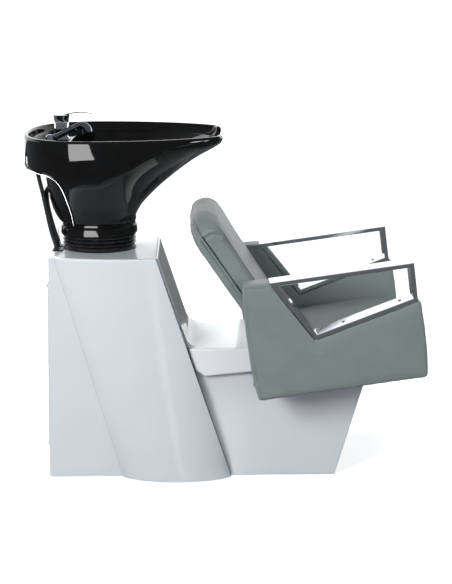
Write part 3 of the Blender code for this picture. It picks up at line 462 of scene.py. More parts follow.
def timber(name, dark, light):
    look = Look(name, light, 0.62)
    look.vary_colour(look.noise(26.0, 6.0, (0.25, 3.0, 3.0)), dark, light)
    look.vary_roughness(look.noise(90.0, 4.0), 0.5, 0.75)
    look.bump(look.noise(160.0, 5.0, (0.15, 3.0, 3.0)), 0.0003, 0.5)
    return look.material


GLAZE = black_glaze()
SHELL_WHITE = gloss_moulding("shell_white", (0.690, 0.728, 0.762), (0.712, 0.750, 0.784))
# The tray cover's white is lighter than the shell's: painted light, standing in for the bright light that
# falls on the tray.
LIT_TRAY_WHITE = gloss_moulding("tray_white", (0.84, 0.86, 0.87), (0.88, 0.90, 0.905))
LEATHER = leatherette()
THREAD = thread()
RUBBER = rubber("rubber")
BELLOWS_RUBBER = rubber("bellows_rubber", 0.22)
BLACK_PLASTIC = rubber("black_plastic", 0.36)
BRAID = braid()
CHROME = chrome("chrome")
# Chrome darkened in its colour: painted shade, standing in for the dark surroundings mirrored in the
# lever and the hand spray.
SHADED_CHROME = chrome("chrome_painted_shade", (0.40, 0.44, 0.48), 0.05)
STEEL = turned_metal("steel", (0.52, 0.53, 0.54), 0.32)
BRASS = turned_metal("brass", (0.66, 0.50, 0.24), 0.30)
POWDER_COAT = powder_coat()
TIMBER = timber("timber", (0.33, 0.21, 0.115), (0.52, 0.37, 0.22))
STAINED_TIMBER = timber("stained_timber", (0.014, 0.012, 0.011), (0.034, 0.030, 0.027))


# ---------------------------------------------------------------- pedestal
def between(ends, z):
    """A value that runs from the column's floor to its top."""
    return mix(ends[0], ends[1], z / COLUMN_TOP)


def column_outline(z, inset, segments=56):
    """Plan section of the column: flat flanks, and a leaning bulge on each side."""
    rear = between(COLUMN_REAR, z) + inset
    front = between(COLUMN_FRONT, z) - inset
    middle = between(BULGE_MID, z)
    half = between(BULGE_HALF, z) - inset
    depth = between(BULGE_DEPTH, z)
    flank = between((SHELL_HALF_WIDTH, FLANK_HALF_WIDTH_TOP), z) - inset
    corner = 0.008
    side = [(rear + corner * (1 - math.cos(0.1 * math.pi * i)),
             flank - corner * (1 - math.sin(0.1 * math.pi * i))) for i in range(6)]
    last = math.pi - math.acos(min(1.0, (front - middle) / half))
    for i in range(segments + 1):
        angle = last * i / segments
        swell = math.sin(angle)
        if angle < 0.5 * math.pi:
            swell = swell ** 1.25
        side.append((middle - half * math.cos(angle), flank + depth * swell))
    outline = [Vector((x, -y, z)) for x, y in side]
    return outline + [Vector((x, y, z)) for x, y in reversed(side)]


def rounded_levels(top, radius, steps=7):
    """Heights and insets that round off a top edge."""
    turns = [0.5 * math.pi * i / steps for i in range(steps + 1)]
    return [(top - radius + radius * math.sin(a), radius * (1.0 - math.cos(a))) for a in turns]


def make_column():
    """The column's shell, open at its bottom, with a rounded top edge."""
    low = SHELL_BOTTOM
    outer = [column_outline(mix(low, COLUMN_TOP - 0.009, i / 12), 0.0) for i in range(13)]
    outer += [column_outline(z, inset) for z, inset in rounded_levels(COLUMN_TOP, 0.007)]
    inner_top = COLUMN_TOP - SHELL_WALL
    inner = [column_outline(mix(low, inner_top, i / 4), SHELL_WALL) for i in range(5)]
    shape = loft(inner[::-1] + outer)
    piece("column_moulding", shape, SHELL_WHITE, "base", ["column_shell"], 28.0)


def seat_line(x, height=SEAT_DECK_HEIGHT):
    """Height at x of a surface that slopes as the seat does."""
    return height + SEAT_SLOPE * (x - SEAT_REAR)


def make_plinth():
    """Open-bottomed plinth: a step that carries the tray, and a sloping deck for the seat."""
    step_x, deck_front_x, below_floor = 0.088, 0.4076, -0.02

    def outline(inset):
        low = SHELL_BOTTOM
        top = TRAY_TOP - SHELL_WALL - GAP - inset
        slanted = 1.05 * inset       # the inset of the two leaning walls, measured along X
        deck_front = deck_front_x - slanted
        return [(between(COLUMN_FRONT, low) + GAP + slanted, low),
                (PLINTH_FRONT_FLOOR + PLINTH_FRONT_LEAN * low - slanted, low),
                (deck_front, seat_line(deck_front) - inset),
                (step_x - inset, seat_line(step_x) - inset),
                (step_x - inset, top),
                (between(COLUMN_FRONT, top) + GAP + slanted, top)]

    shape = prism(outline(0.0), -SHELL_HALF_WIDTH, SHELL_HALF_WIDTH)
    plinth = new_mesh_object("plinth_moulding", *shape, SHELL_WHITE)
    hollow = outline(SHELL_WALL)
    hollow[0] = (hollow[0][0], below_floor)
    hollow[1] = (hollow[1][0] - 0.007, below_floor)
    inner = SHELL_HALF_WIDTH - SHELL_WALL
    cut(plinth, prism(hollow, -inner, inner))
    round_edges(plinth, 0.004, 4, 50.0)
    settle_on(plinth, "base", "plinth_shell")


TRAY_WALL = 0.005


def column_front(z, offset):
    """X of a surface that stands off the column's leaning front."""
    return between(COLUMN_FRONT, z) + offset


def apron_outline():
    """The tray's top, swept up along the column's front with a wide fillet."""
    face, top, fillet, steps = 0.0006, 0.6425, 0.045, 16
    lean = math.atan2(COLUMN_FRONT[0] - COLUMN_FRONT[1], COLUMN_TOP)
    reach = fillet * math.tan(0.5 * (0.5 * math.pi - lean))
    outline = [(column_front(top, face), top), (column_front(top, face + TRAY_WALL), top - 0.002)]
    corner_x = column_front(TRAY_TOP, face + TRAY_WALL)
    for i in range(steps + 1):
        up, along = (1 - i / steps) ** 2 * reach, (i / steps) ** 2 * reach
        outline.append((corner_x - up * math.sin(lean) + along, TRAY_TOP + up * math.cos(lean)))
    low = TRAY_TOP - TRAY_WALL
    return outline + [(TRAY_FRONT, TRAY_TOP), (TRAY_FRONT, low), (column_front(low, face), low)]


def make_saddle():
    """Tray cover between column and chair, with an apron rising up the column's front."""
    front, wall = column_front, TRAY_WALL
    apron = new_mesh_object("saddle_moulding", *prism(apron_outline(), -0.1585, 0.1585), LIT_TRAY_WHITE)
    bottom = 0.306
    side = [(front(TRAY_TOP, 0.003), TRAY_TOP), (TRAY_FRONT, TRAY_TOP),
            (TRAY_FRONT, bottom + 0.010), (-0.053, bottom - 0.003), (front(0.322, 0.003), 0.322)]
    skirt = new_mesh_object("skirt", *prism(side, -TRAY_HALF_WIDTH, TRAY_HALF_WIDTH), LIT_TRAY_WHITE)
    round_edges(skirt, 0.006, 5, 50.0)
    bake(skirt)
    top = TRAY_TOP - wall
    hollow = [(front(top, -0.02), top), (TRAY_FRONT - wall, top),
              (TRAY_FRONT - wall, bottom - 0.03), (front(bottom, -0.03), bottom - 0.03)]
    inner = TRAY_HALF_WIDTH - wall
    cut(skirt, prism(hollow, -inner, inner))
    cut(skirt, block((TRAY_FRONT - 0.02, -0.170, 0.28), (0.12, 0.170, TRAY_TOP - 0.06)))
    union = apron.modifiers.new("skirt", "BOOLEAN")
    union.operation = "UNION"
    union.object = skirt
    bake(apron)
    bpy.data.objects.remove(skirt)
    settle_on(apron, "base", "saddle_cover")


def make_bellows():
    """Ribbed boot between the column top and the basin's foot, and its clamp ring."""
    base = COLUMN_TOP + GAP
    ring = [(0.0985, base), (0.1040, base), (0.1050, base + 0.0012), (0.1046, base + 0.0030),
            (0.1022, base + 0.0046), (0.1014, base + 0.0060), (0.1012, base + 0.0096),
            (0.1004, base + 0.0112), (0.0985, base + 0.0120), (0.0880, base + 0.0120),
            (0.0880, base)]
    piece("clamp_ring", turned(ring, (PIVOT.x, 0, 0), 144), BLACK_PLASTIC, "base",
          ["bellows_clamp_ring"], 50.0)
    low, high, ribs, steps = base + 0.012 + GAP, FOOT_BOTTOM - GAP, 3, 14
    outer, inner = [], []
    for i in range(steps * ribs + 1):
        z = mix(low, high, i / (steps * ribs))
        wave = abs(math.sin(math.pi * i / steps)) ** 0.75
        outer.append((0.0965 + 0.0088 * wave, z))
        inner.append((0.0940 + 0.0080 * wave, z))
    boot = new_mesh_object("bellows_boot", *turned(outer + inner[::-1], (PIVOT.x, 0, 0), 144),
                           BELLOWS_RUBBER, 60.0)
    hang_between(boot, "bellows")


# ---------------------------------------------------------------- basin
# height, rear X, crease X, nose X, half width, crease half width
BASIN_OUTSIDE = (
    (0.690, -0.4625, -0.2640, -0.2435, 0.1095, 0.055),
    (0.722, -0.4600, -0.2660, -0.2455, 0.1070, 0.055),
    (0.740, -0.4720, -0.2680, -0.2480, 0.1160, 0.062),
    (0.772, -0.4890, -0.2540, -0.2300, 0.1420, 0.085),
    (0.800, -0.5030, -0.2370, -0.2050, 0.1720, 0.100),
    (0.827, -0.5180, -0.2190, -0.1770, 0.2010, 0.108),
    (0.858, -0.5380, -0.1890, -0.1400, 0.2330, 0.112),
    (0.889, -0.5570, -0.1470, -0.0990, 0.2590, 0.118),
    (0.914, -0.5570, -0.1020, -0.0620, 0.2720, 0.127),
    (0.936, -0.5570, -0.0600, -0.0230, 0.2800, 0.138),
    (0.952, -0.5570, -0.0280, 0.0010, 0.2830, 0.147),
    (0.966, -0.5570, -0.0100, 0.0060, 0.2845, 0.153),
    (0.980, -0.5570, -0.0070, 0.0060, 0.2850, 0.156),
)
BASIN_INSIDE = (
    (0.791, -0.3850, -0.3240, -0.3180, 0.0300, 0.015),
    (0.796, -0.4020, -0.2920, -0.2720, 0.0780, 0.035),
    (0.808, -0.4180, -0.2640, -0.2270, 0.1300, 0.060),
    (0.830, -0.4270, -0.2390, -0.1960, 0.1780, 0.085),
    (0.858, -0.4300, -0.2120, -0.1640, 0.2150, 0.098),
    (0.889, -0.4290, -0.1740, -0.1250, 0.2440, 0.102),
    (0.914, -0.4270, -0.1290, -0.0880, 0.2550, 0.110),
    (0.936, -0.4250, -0.0880, -0.0500, 0.2615, 0.120),
    (0.9555, -0.4230, -0.0500, -0.0190, 0.2650, 0.130),
)
GROOVE_TOP = 0.740           # below it the basin's foot is read straight from its rows
REMAP_FROM = 0.860           # above it the walls are lowered along the neck notch


def smooth_row(table, z, straight_below=0.0):
    """A row of the table at height z, on a smooth curve through its rows."""
    heights = [row[0] for row in table]
    z = min(max(z, heights[0]), heights[-1])
    k = max(i for i in range(len(table) - 1) if heights[i] <= z or i == 0)
    low, high = table[k], table[k + 1]
    span = high[0] - low[0]
    t = (z - low[0]) / span
    values = []
    for column in range(1, 6):
        a, b = low[column], high[column]
        if z <= straight_below:
            values.append(mix(a, b, t))
            continue
        first = k == 0 or heights[k] <= straight_below
        before = low if first else table[k - 1]
        after = high if k + 2 >= len(table) else table[k + 2]
        slope_a = (b - before[column]) / (high[0] - before[0])
        slope_b = (after[column] - a) / (after[0] - low[0])
        values.append((2 * t ** 3 - 3 * t ** 2 + 1) * a + (t ** 3 - 2 * t ** 2 + t) * span * slope_a
                      + (3 * t ** 2 - 2 * t ** 3) * b + (t ** 3 - t ** 2) * span * slope_b)
    values[0] = max(values[0], -0.557)
    return values


REAR_STEPS, SIDE_STEPS, NOSE_STEPS = 34, 44, 22
HALF_COUNT = REAR_STEPS + SIDE_STEPS + NOSE_STEPS


def section_point(k, row, inset=0.0):
    """Point k of a half plan section, from the rear's middle round to the nose's middle."""
    rear, crease, nose, half_width, crease_half = row
    rear += inset
    crease -= inset
    nose -= inset
    half_width -= inset
    crease_half -= 0.5 * inset
    mid = BASIN_MID_X
    if k < REAR_STEPS:
        angle = 0.5 * math.pi * k / REAR_STEPS
        return (mid - (mid - rear) * math.cos(angle) ** (2.0 / REAR_FULLNESS),
                half_width * math.sin(angle) ** (2.0 / REAR_FULLNESS))
    stop = math.asin(min(1.0, crease_half / half_width))
    length = (crease - mid) / math.cos(stop)
    if k <= REAR_STEPS + SIDE_STEPS:
        angle = mix(0.5 * math.pi, stop, (k - REAR_STEPS) / SIDE_STEPS)
        return mid + length * math.cos(angle), half_width * math.sin(angle)
    y = crease_half * (1.0 - (k - REAR_STEPS - SIDE_STEPS) / NOSE_STEPS)
    share = y / crease_half
    return nose - (nose - crease) * share ** 2.6, y


def notch_height(x, y):
    """Rim height at a plan position: the neck trough is blended into the level rim."""
    radius = 0.115
    if abs(y) >= radius or x < -0.16:
        return RIM_HEIGHT
    centre = mix(1.036, 1.026, (x + 0.150) / 0.190)
    trough = centre - math.sqrt(radius * radius - y * y)
    if trough > RIM_HEIGHT + 0.02:
        return RIM_HEIGHT
    soft = 0.0055
    gap = (trough - RIM_HEIGHT) / soft
    if gap > 12:
        return RIM_HEIGHT
    return RIM_HEIGHT - soft * math.log1p(math.exp(-gap)) if gap > -30 else trough


def basin_ring(level, inset, table, straight_below=0.0):
    """Full plan loop at a nominal height, lowered along the neck notch."""
    half = []
    for k in range(HALF_COUNT + 1):
        top_x, top_y = section_point(k, smooth_row(BASIN_OUTSIDE, RIM_HEIGHT), 0.010)
        height = RIM_HEIGHT
        for _ in range(3):
            height = notch_height(top_x, top_y)
            top_x, top_y = section_point(k, smooth_row(BASIN_OUTSIDE, height), 0.010)
        z = level
        if level > REMAP_FROM:
            z = mix(REMAP_FROM, height, (level - REMAP_FROM) / (RIM_HEIGHT - REMAP_FROM))
            z = max(z, height - (RIM_HEIGHT - level)) if level > RIM_HEIGHT - 0.010 else z
        x, y = section_point(k, smooth_row(table, z, straight_below), inset)
        half.append((x, y, z))
    ring = [Vector((x, -y, z)) for x, y, z in half]
    return ring + [Vector((x, y, z)) for x, y, z in half[-2:0:-1]]


def turned_ring(like, radius, z):
    """A circle about the drain, point for point with another ring."""
    ring = []
    for p in like:
        angle = math.atan2(p.y, p.x - PIVOT.x)
        ring.append(Vector((PIVOT.x + radius * math.cos(angle), radius * math.sin(angle), z)))
    return ring


def outside_width(x, z):
    """Half width of the basin's outside at a point behind its middle."""
    rear, _, _, half_width, _ = smooth_row(BASIN_OUTSIDE, z, GROOVE_TOP)
    share = min(1.0, max(0.0, (BASIN_MID_X - x) / (BASIN_MID_X - rear)))
    return half_width * (1.0 - share ** REAR_FULLNESS) ** (1.0 / REAR_FULLNESS)


SKIRT_EDGE = ((-0.540, 0.8940), (-0.510, 0.8885), (-0.482, 0.8835), (-0.458, 0.874),
              (-0.443, 0.855), (-0.434, 0.829), (-0.427, 0.796), (-0.420, 0.758),
              (-0.4165, 0.7245))
BASIN_CORE = (
    (0.700, -0.4560, -0.300, -0.280, 0.1040, 0.050),
    (0.738, -0.4730, -0.300, -0.280, 0.1060, 0.050),
    (0.765, -0.4840, -0.300, -0.280, 0.1150, 0.060),
    (0.800, -0.4930, -0.300, -0.280, 0.1500, 0.080),
    (0.830, -0.4970, -0.300, -0.280, 0.1920, 0.090),
    (0.858, -0.4990, -0.300, -0.280, 0.2280, 0.100),
    (0.900, -0.5000, -0.300, -0.280, 0.2600, 0.100),
)
GLAZE_EDGE = 38.0            # degrees
# height and inset of the rings from the foot's edge to its groove, and over the rim
FOOT_RINGS = ((FOOT_BOTTOM, 0.003), (0.6912, 0.0009), (0.694, 0.0), (0.704, 0.0), (0.7115, 0.0),
              (0.7140, 0.0006), (0.7160, 0.0022), (0.7175, 0.0036), (0.7225, 0.0036),
              (0.7245, 0.0026), (0.7275, 0.0010), (0.7310, 0.0))
RIM_RINGS = ((0.9800, 0.0095), (0.97975, 0.0108), (0.9785, 0.0122), (0.9765, 0.0132),
             (0.9720, 0.0142), (0.9660, 0.0152), (0.9610, 0.0160), (0.9577, 0.0170),
             (0.9558, 0.0190), (0.9552, 0.0225))
LEDGE_RINGS = ((0.9550, -0.4300), (0.9543, -0.4262), (0.9522, -0.4243))
FLOOR_RINGS = (0.8080, 0.8035, 0.7995, 0.7965, 0.7940, 0.7920)


def basin_shape():
    """One skin: foot pocket, outside, over the rim, across the tap ledge and down to the drain."""
    outside = list(FOOT_RINGS)
    outside += [(z, 0.0) for z in np.linspace(0.7360, 0.9720, 34)]
    outside += rounded_levels(RIM_HEIGHT, 0.0065)
    outside += RIM_RINGS
    rings = [basin_ring(z, inset, BASIN_OUTSIDE, GROOVE_TOP) for z, inset in outside]
    top = BASIN_INSIDE[-1]
    for z, rear in LEDGE_RINGS:
        rings.append(basin_ring(z, 0.0, BASIN_INSIDE[:-1] + ((top[0], rear, *top[2:]),)))
    for z in (*np.linspace(0.9480, 0.8120, 26), *FLOOR_RINGS):
        rings.append(basin_ring(z, 0.0, BASIN_INSIDE))
    rings.append(turned_ring(rings[-1], 0.0230, 0.7905))
    pocket = [turned_ring(rings[0], radius, z)
              for radius, z in ((0.094, 0.770), (0.094, 0.700), (0.0955, FOOT_BOTTOM))]
    return loft(pocket + rings)


def skirt_curve():
    """The skirt's lower edge in X and Z, from the rear down to the foot."""
    curve = resample(catmull([(x, 0, z) for x, z in SKIRT_EDGE], 12), 0.006)
    return [(p.x, p.z) for p in curve]


def rear_recess():
    """What is cut away under the skirt: everything behind its edge but the basin's core."""
    core = []
    for height, *row in BASIN_CORE:
        half = [section_point(k, row) for k in range(HALF_COUNT + 1)]
        core.append([Vector((x, y, height)) for x, y in half]
                    + [Vector((x, -y, height)) for x, y in half[-2:0:-1]])
    edge = [(-0.60, 0.895)] + skirt_curve() + [(-0.60, SKIRT_EDGE[-1][1])]
    recess = new_mesh_object("recess", *prism(edge[::-1], -0.32, 0.32), GLAZE)
    cut(recess, loft(core))
    shape = ([v.co.copy() for v in recess.data.vertices],
             [tuple(f.vertices) for f in recess.data.polygons])
    bpy.data.objects.remove(recess)
    return shape


def make_basin():
    basin = new_mesh_object("basin_glazed", *basin_shape(), GLAZE, GLAZE_EDGE)
    cut(basin, rear_recess())
    # pocket under the tap ledge, open to the rear and downwards
    cut(basin, block((-0.543, -0.150, 0.860), (-0.5005, 0.150, 0.9410)))
    cut(basin, block((-0.5010, -0.1505, 0.885), (-0.4362, 0.1505, 0.9405)))
    cut(basin, block((-0.5020, -0.0720, 0.800), (-0.4425, 0.0720, 0.8900)))
    keep_sharp(basin, GLAZE_EDGE)
    settle_on(basin, "bowl", "basin")


def make_lip():
    """Rolled lip along the skirt's lower edge, round the back from side to side."""
    near = [Vector((x - 0.0008, -outside_width(x, z) - 0.0006, z)) for x, z in skirt_curve()[::-1]]
    back, steps, height = [], 40, 0.8945
    row = smooth_row(BASIN_OUTSIDE, height, GROOVE_TOP)
    for i in range(1, steps):
        y = near[-1].y * math.cos(math.pi * i / steps)
        share = abs(y) / row[3]
        x = BASIN_MID_X - (BASIN_MID_X - row[0]) * (1 - share ** REAR_FULLNESS) ** (1 / REAR_FULLNESS)
        back.append(Vector((x + 0.0012, y, height)))
    lip = near + back + [Vector((p.x, -p.y, p.z)) for p in near[::-1]]
    piece("basin_lip", tube(resample(lip, 0.004), 0.0030, 16), GLAZE, "bowl", (), 60.0)


def make_waste():
    """Strainer in the basin's floor, and the ribbed hose that falls from it."""
    floor, jets, jet_circle = 0.7915, 8, 0.0125
    flange = [(0.0, floor - 0.0015), (0.0195, floor - 0.0015), (0.0215, floor + 0.0004),
              (0.0235, floor + 0.0014), (0.0262, floor + 0.0014), (0.0280, floor + 0.0010),
              (0.0285, floor + GAP), (0.0198, floor + GAP), (0.0198, floor - 0.035),
              (0.0165, floor - 0.035), (0.0165, floor - 0.006), (0.0, floor - 0.006)]
    shapes = [turned(flange, (PIVOT.x, 0, 0), 64)]
    for i in range(jets):
        angle = math.tau * i / jets
        place = (PIVOT.x + jet_circle * math.cos(angle), jet_circle * math.sin(angle), floor - 0.0014)
        shapes.append(wire_ring(place, (0, 0, 1), 0.0030, 0.0006, 16, 6))
    shapes.append(ball((PIVOT.x, 0, floor - 0.0012), 0.0045, 20))
    piece("waste_strainer", merged(shapes), CHROME, "bowl", ["waste_flange"], 50.0)
    x, low = PIVOT.x, 0.7558
    route = [(x, 0, low), (x, 0, 0.72), (x, 0, 0.66), (x, 0, 0.58), (x + 0.010, 0, 0.50),
             (x + 0.030, 0, 0.42), (x + 0.036, 0, 0.34), (x + 0.036, 0, 0.300)]

    def ribbed(_, distance):
        return 0.0172 + 0.0013 * math.cos(math.tau * distance / 0.008)

    hose = new_mesh_object("waste_hose_ribbed", *tube(resample(catmull(route), 0.0016), ribbed, 24),
                           BLACK_PLASTIC, 60.0)
    hang_between(hose, "waste_hose")


# ---------------------------------------------------------------- hoses and chain
def behind_bowl(y):
    """Route points from the tap recess down the open back of the basin and into the column."""
    return [(-0.4985, y, 0.814), (-0.5030, y, 0.793), (-0.4985, y, 0.752), (-0.4860, y, 0.700),
            (HOSE_DROP_X, y, 0.660), (HOSE_DROP_X, y, 0.640), (HOSE_DROP_X, y, 0.620)]


def braided_hose(name, route, radius, carriers, node):
    """A hose whose braid is modelled where it can be seen, and plain inside the column."""
    fine = resample(catmull(route), 0.0007)
    hidden_below, pitch = 0.635, 0.0056
    rings = [p for i, p in enumerate(fine)
             if p.z > hidden_below or i % 8 == 0 or i == len(fine) - 1]

    def weave(angle, distance):
        first = math.cos(carriers * angle + math.tau * distance / pitch)
        second = math.cos(carriers * angle - math.tau * distance / pitch)
        return radius * (0.965 + 0.035 * max(first, second))

    hose = new_mesh_object(name, *tube(rings, weave, carriers * 5), BRAID, 70.0)
    hang_between(hose, node)


def spray_point(along, across=0.0):
    """A point on the hand spray's axis, with an offset square to it in the vertical plane."""
    return SPRAY_SEAT + Vector((math.cos(SPRAY_ANGLE), 0, math.sin(SPRAY_ANGLE))) * along \
        + Vector((-math.sin(SPRAY_ANGLE), 0, math.cos(SPRAY_ANGLE))) * across


def make_hoses():
    """The spray's hose, which hangs in a loop inside the column, and the two feed hoses."""
    drop = HOSE_DROP_X
    feed_y, return_y = -0.0385, -0.0545
    down = [(MIXER.x - 0.006, -0.010, 0.9035), (MIXER.x - 0.006, -0.010, 0.892),
            (-0.4660, -0.018, 0.868), (-0.4810, -0.030, 0.841)]
    down += behind_bowl(feed_y)
    down += [(drop + 0.004, feed_y, 0.52), (drop + 0.012, feed_y - 0.006, 0.42),
             (drop + 0.022, feed_y - 0.018, 0.375)]
    back = [(drop + 0.018, return_y - 0.018, 0.40), (drop + 0.006, return_y - 0.008, 0.47),
            (drop, return_y, 0.55), (drop, return_y, 0.620), (drop, return_y, 0.640),
            (drop, return_y, 0.660), (-0.4860, return_y, 0.700), (-0.4970, return_y, 0.755),
            (-0.5060, return_y, 0.803), (-0.5175, return_y, 0.855), (-0.5205, return_y, 0.880),
            (-0.5150, -0.056, 0.902), (-0.5000, -0.059, 0.924),
            (SPRAY_SEAT.x - 0.0125, SPRAY_SEAT.y, 0.943), (SPRAY_SEAT.x - 0.012, SPRAY_SEAT.y, 0.9515)]
    braided_hose("spray_hose_braided", down + back, HOSE_RADIUS, 8, "spray_hose")
    for label, tail_y, drop_y, valve_y in (("cold", -0.0005, 0.0045, -0.020),
                                           ("hot", 0.0105, 0.0205, 0.030)):
        route = [(MIXER.x + 0.005, tail_y, 0.9035), (MIXER.x + 0.005, tail_y, 0.892),
                 (-0.4580, mix(tail_y, drop_y, 0.4), 0.868),
                 (-0.4760, mix(tail_y, drop_y, 0.8), 0.841)]
        route += behind_bowl(drop_y)
        route += [(drop + 0.004, drop_y, 0.50), (drop + 0.016, valve_y, 0.38),
                  (drop + 0.024, valve_y, 0.27), (drop + 0.024, valve_y, 0.2153)]
        braided_hose(f"feed_hose_{label}_braided", route, FEED_RADIUS, 7, f"feed_hose_{label}")

    # the spray's own end of the hose, hidden in the holder until the spray is pulled out
    tail = [spray_point(-0.0004 * i) for i in range(1, 125)]
    piece("spray_hose_tail", tube(tail, 0.0050, 24), BRAID, "spray", (), 60.0)


def make_chain():
    """Ball chain that limits the basin's tilt, with its ring and eye on the column's top."""
    route = [(-0.4645, -0.020, 0.7060), (-0.4690, -0.020, 0.6990), (-0.4675, -0.020, 0.6800),
             (-0.4640, -0.020, 0.6620), (-0.4632, -0.020, 0.6535)]
    route = resample(catmull(route), 0.0029)
    shapes = [ball(p, 0.00125, 10) for p in route]
    shapes.append(tube(route, 0.00045, 6))
    chain = new_mesh_object("limit_ball_chain", *merged(shapes), CHROME, 60.0)
    hang_between(chain, "limit_chain")
    eye = [wire_ring((-0.4630, -0.020, 0.6505), (0, 1, 0), 0.0032, 0.0007),
           turned([(0.0, 0.6453), (0.0048, 0.6453), (0.0042, 0.6466), (0.0012, 0.6472),
                   (0.0012, 0.6480), (0.0, 0.6480)], (-0.4630, -0.020, 0), 24)]
    piece("chain_eye", merged(eye), CHROME, "base", (), 50.0)


# ---------------------------------------------------------------- mixer tap and hand spray
CHROME_EDGE = 40.0           # degrees


def make_mixer():
    """Body on the tap ledge, a cap with a slot, and the lever that leaves it."""
    deck = DECK_HEIGHT + GAP
    body = [(0.0, 0.905), (0.0130, 0.905), (0.0130, deck), (0.0240, deck), (0.0248, deck + 0.0006),
            (0.0250, deck + 0.0024), (0.0243, deck + 0.0046), (0.0226, deck + 0.0066),
            (0.0215, deck + 0.0090), (0.0211, deck + 0.0130), (0.0208, 0.9850), (0.0208, 1.0030),
            (0.0203, 1.0042), (0.0, 1.0045)]
    piece("mixer_body_chrome", turned(body, (MIXER.x, 0, 0), 96), CHROME, "bowl", ["mixer_body"],
          CHROME_EDGE)
    cap = [(0.0, 1.0052), (0.0206, 1.0052), (0.0211, 1.0058), (0.0210, 1.0090), (0.0213, 1.0135),
           (0.0222, 1.0185), (0.0234, 1.0232), (0.0236, 1.0244), (0.0230, 1.0253),
           (0.0205, 1.0258), (0.0120, 1.0262), (0.0, 1.0263)]
    top = new_mesh_object("mixer_cap_chrome", *turned(cap, (MIXER.x, 0, 0), 96), CHROME, CHROME_EDGE)
    cut(top, block((MIXER.x + 0.0035, -0.0066, 1.0100), (MIXER.x + 0.030, 0.0066, 1.0300)))
    keep_sharp(top, CHROME_EDGE)
    settle_on(top, "mixer_head", "mixer_cap")
    # The lever takes the chrome with painted shade in its colour.
    piece("mixer_lever_chrome", lever_shape(), SHADED_CHROME, "lever", ["mixer_lever"], 50.0)


def lever_shape():
    """A blade that leaves the cap's slot, arches forward and thins towards its tip."""
    start, end, steps, sides = MIXER.x + 0.0082, -0.3665, 40, 20
    arch_from = MIXER.x + 0.0105
    loops = []
    for i in range(steps + 1):
        share = i / steps
        x = mix(start, end, share)
        arch = max(0.0, (x - arch_from) / (end - arch_from))
        top = 1.0235 + 0.0105 * math.sin(math.pi * (0.12 + 0.70 * arch))
        half_thick = 0.5 * mix(0.0080, mix(0.0036, 0.0022, share), ease((x - start - 0.003) / 0.010))
        tip = 1.0 - 0.75 * ease((share - 0.93) / 0.07) ** 2
        half_wide = mix(0.0050, 0.0058, ease(share * 1.6)) * tip
        loop = []
        for j in range(sides):
            c, s = math.cos(math.tau * j / sides), math.sin(math.tau * j / sides)
            loop.append(Vector((x, half_wide * math.copysign(abs(c) ** 0.45, c),
                                top + half_thick * (math.copysign(abs(s) ** 0.7, s) - 1.0))))
        loops.append(loop)
    return loft(loops)


def make_spray_holder():
    """A post on the tap ledge, hollowed where the spray's end rests."""
    deck = DECK_HEIGHT + GAP
    base = [(0.0, deck), (0.0160, deck), (0.0165, deck + 0.0006), (0.0165, deck + 0.0024),
            (0.0156, deck + 0.0040), (0.0138, deck + 0.0056), (0.0128, deck + 0.0085),
            (0.0122, deck + 0.0140), (0.0106, deck + 0.0180), (0.0075, deck + 0.0200),
            (0.0, deck + 0.0215)]
    shape = turned(base, (SPRAY_SEAT.x - 0.012, SPRAY_SEAT.y, 0), 64)
    holder = new_mesh_object("spray_holder_chrome", *shape, CHROME, CHROME_EDGE)
    cut(holder, rod(spray_point(-GAP), spray_point(0.040), 0.030, 48))
    keep_sharp(holder, CHROME_EDGE)
    settle_on(holder, "bowl", "spray_holder")


def make_spray_grip():
    turn = axis_turn((math.cos(SPRAY_ANGLE), 0, math.sin(SPRAY_ANGLE)))
    grip = [(0.0, 0.0), (0.0084, 0.0), (0.0090, 0.0005), (0.0096, 0.0020), (0.0096, 0.0060),
            (0.0091, 0.0074), (0.0086, 0.0090), (0.0083, 0.0200), (0.0083, 0.0320),
            (0.0086, 0.0450), (0.0091, 0.0560), (0.0094, 0.0630), (0.0094, 0.0655),
            (0.0090, 0.0661), (0.0, 0.0661)]
    piece("spray_grip", turned(grip, SPRAY_SEAT, 64, turn), SHADED_CHROME, "spray", ["spray_handle"],
          CHROME_EDGE)


def make_spray_head():
    """A neck that bends down and widens, a short mouth, and the plate with its jets."""
    steps, sides, bend = 26, 40, 0.0185
    centre = spray_point(0.0740, -bend)
    mouth = ((0.0055, 0.0138), (0.0072, 0.0130), (0.0072, 0.0116))
    loops = []
    for i in range(-1, steps + 1 + len(mouth)):
        share = min(max(i, 0), steps) / steps
        angle = SPRAY_ANGLE - math.radians(104.0) * share
        up = Vector((-math.sin(angle), 0, math.cos(angle)))
        forward = Vector((math.cos(angle), 0, math.sin(angle)))
        middle = centre + up * bend if i >= 0 else spray_point(0.0666)
        radius = mix(0.0093, 0.0134, ease(share))
        if i > steps:
            reach, radius = mouth[i - steps - 1]
            middle = middle + forward * reach
        loops.append([middle + up * radius * math.cos(math.tau * j / sides)
                      + Vector((0, radius * math.sin(math.tau * j / sides), 0))
                      for j in range(sides)])
    piece("spray_head_chrome", loft(loops), SHADED_CHROME, "spray", ["spray_head"], 50.0)

    plate_turn = axis_turn(forward)
    shapes = [turned([(0.0, 0.0), (0.0108, 0.0), (0.0106, 0.0006), (0.0, 0.0009)],
                     middle + forward * 0.0001, 40, plate_turn)]
    for ring_radius, count in ((0.0045, 6), (0.0085, 12)):
        for j in range(count):
            angle = math.tau * j / count
            place = plate_turn @ Vector((ring_radius * math.cos(angle), ring_radius * math.sin(angle), 0))
            shapes.append(ball(middle + place + forward * 0.0007, 0.0008, 8))
    piece("spray_jets", merged(shapes), CHROME, "spray", (), 50.0)


def make_spray():
    make_spray_holder()
    make_spray_grip()
    make_spray_head()


# ---------------------------------------------------------------- upholstery
SWELL_FRAMES = 20            # length of the cloth simulation that fills a cushion


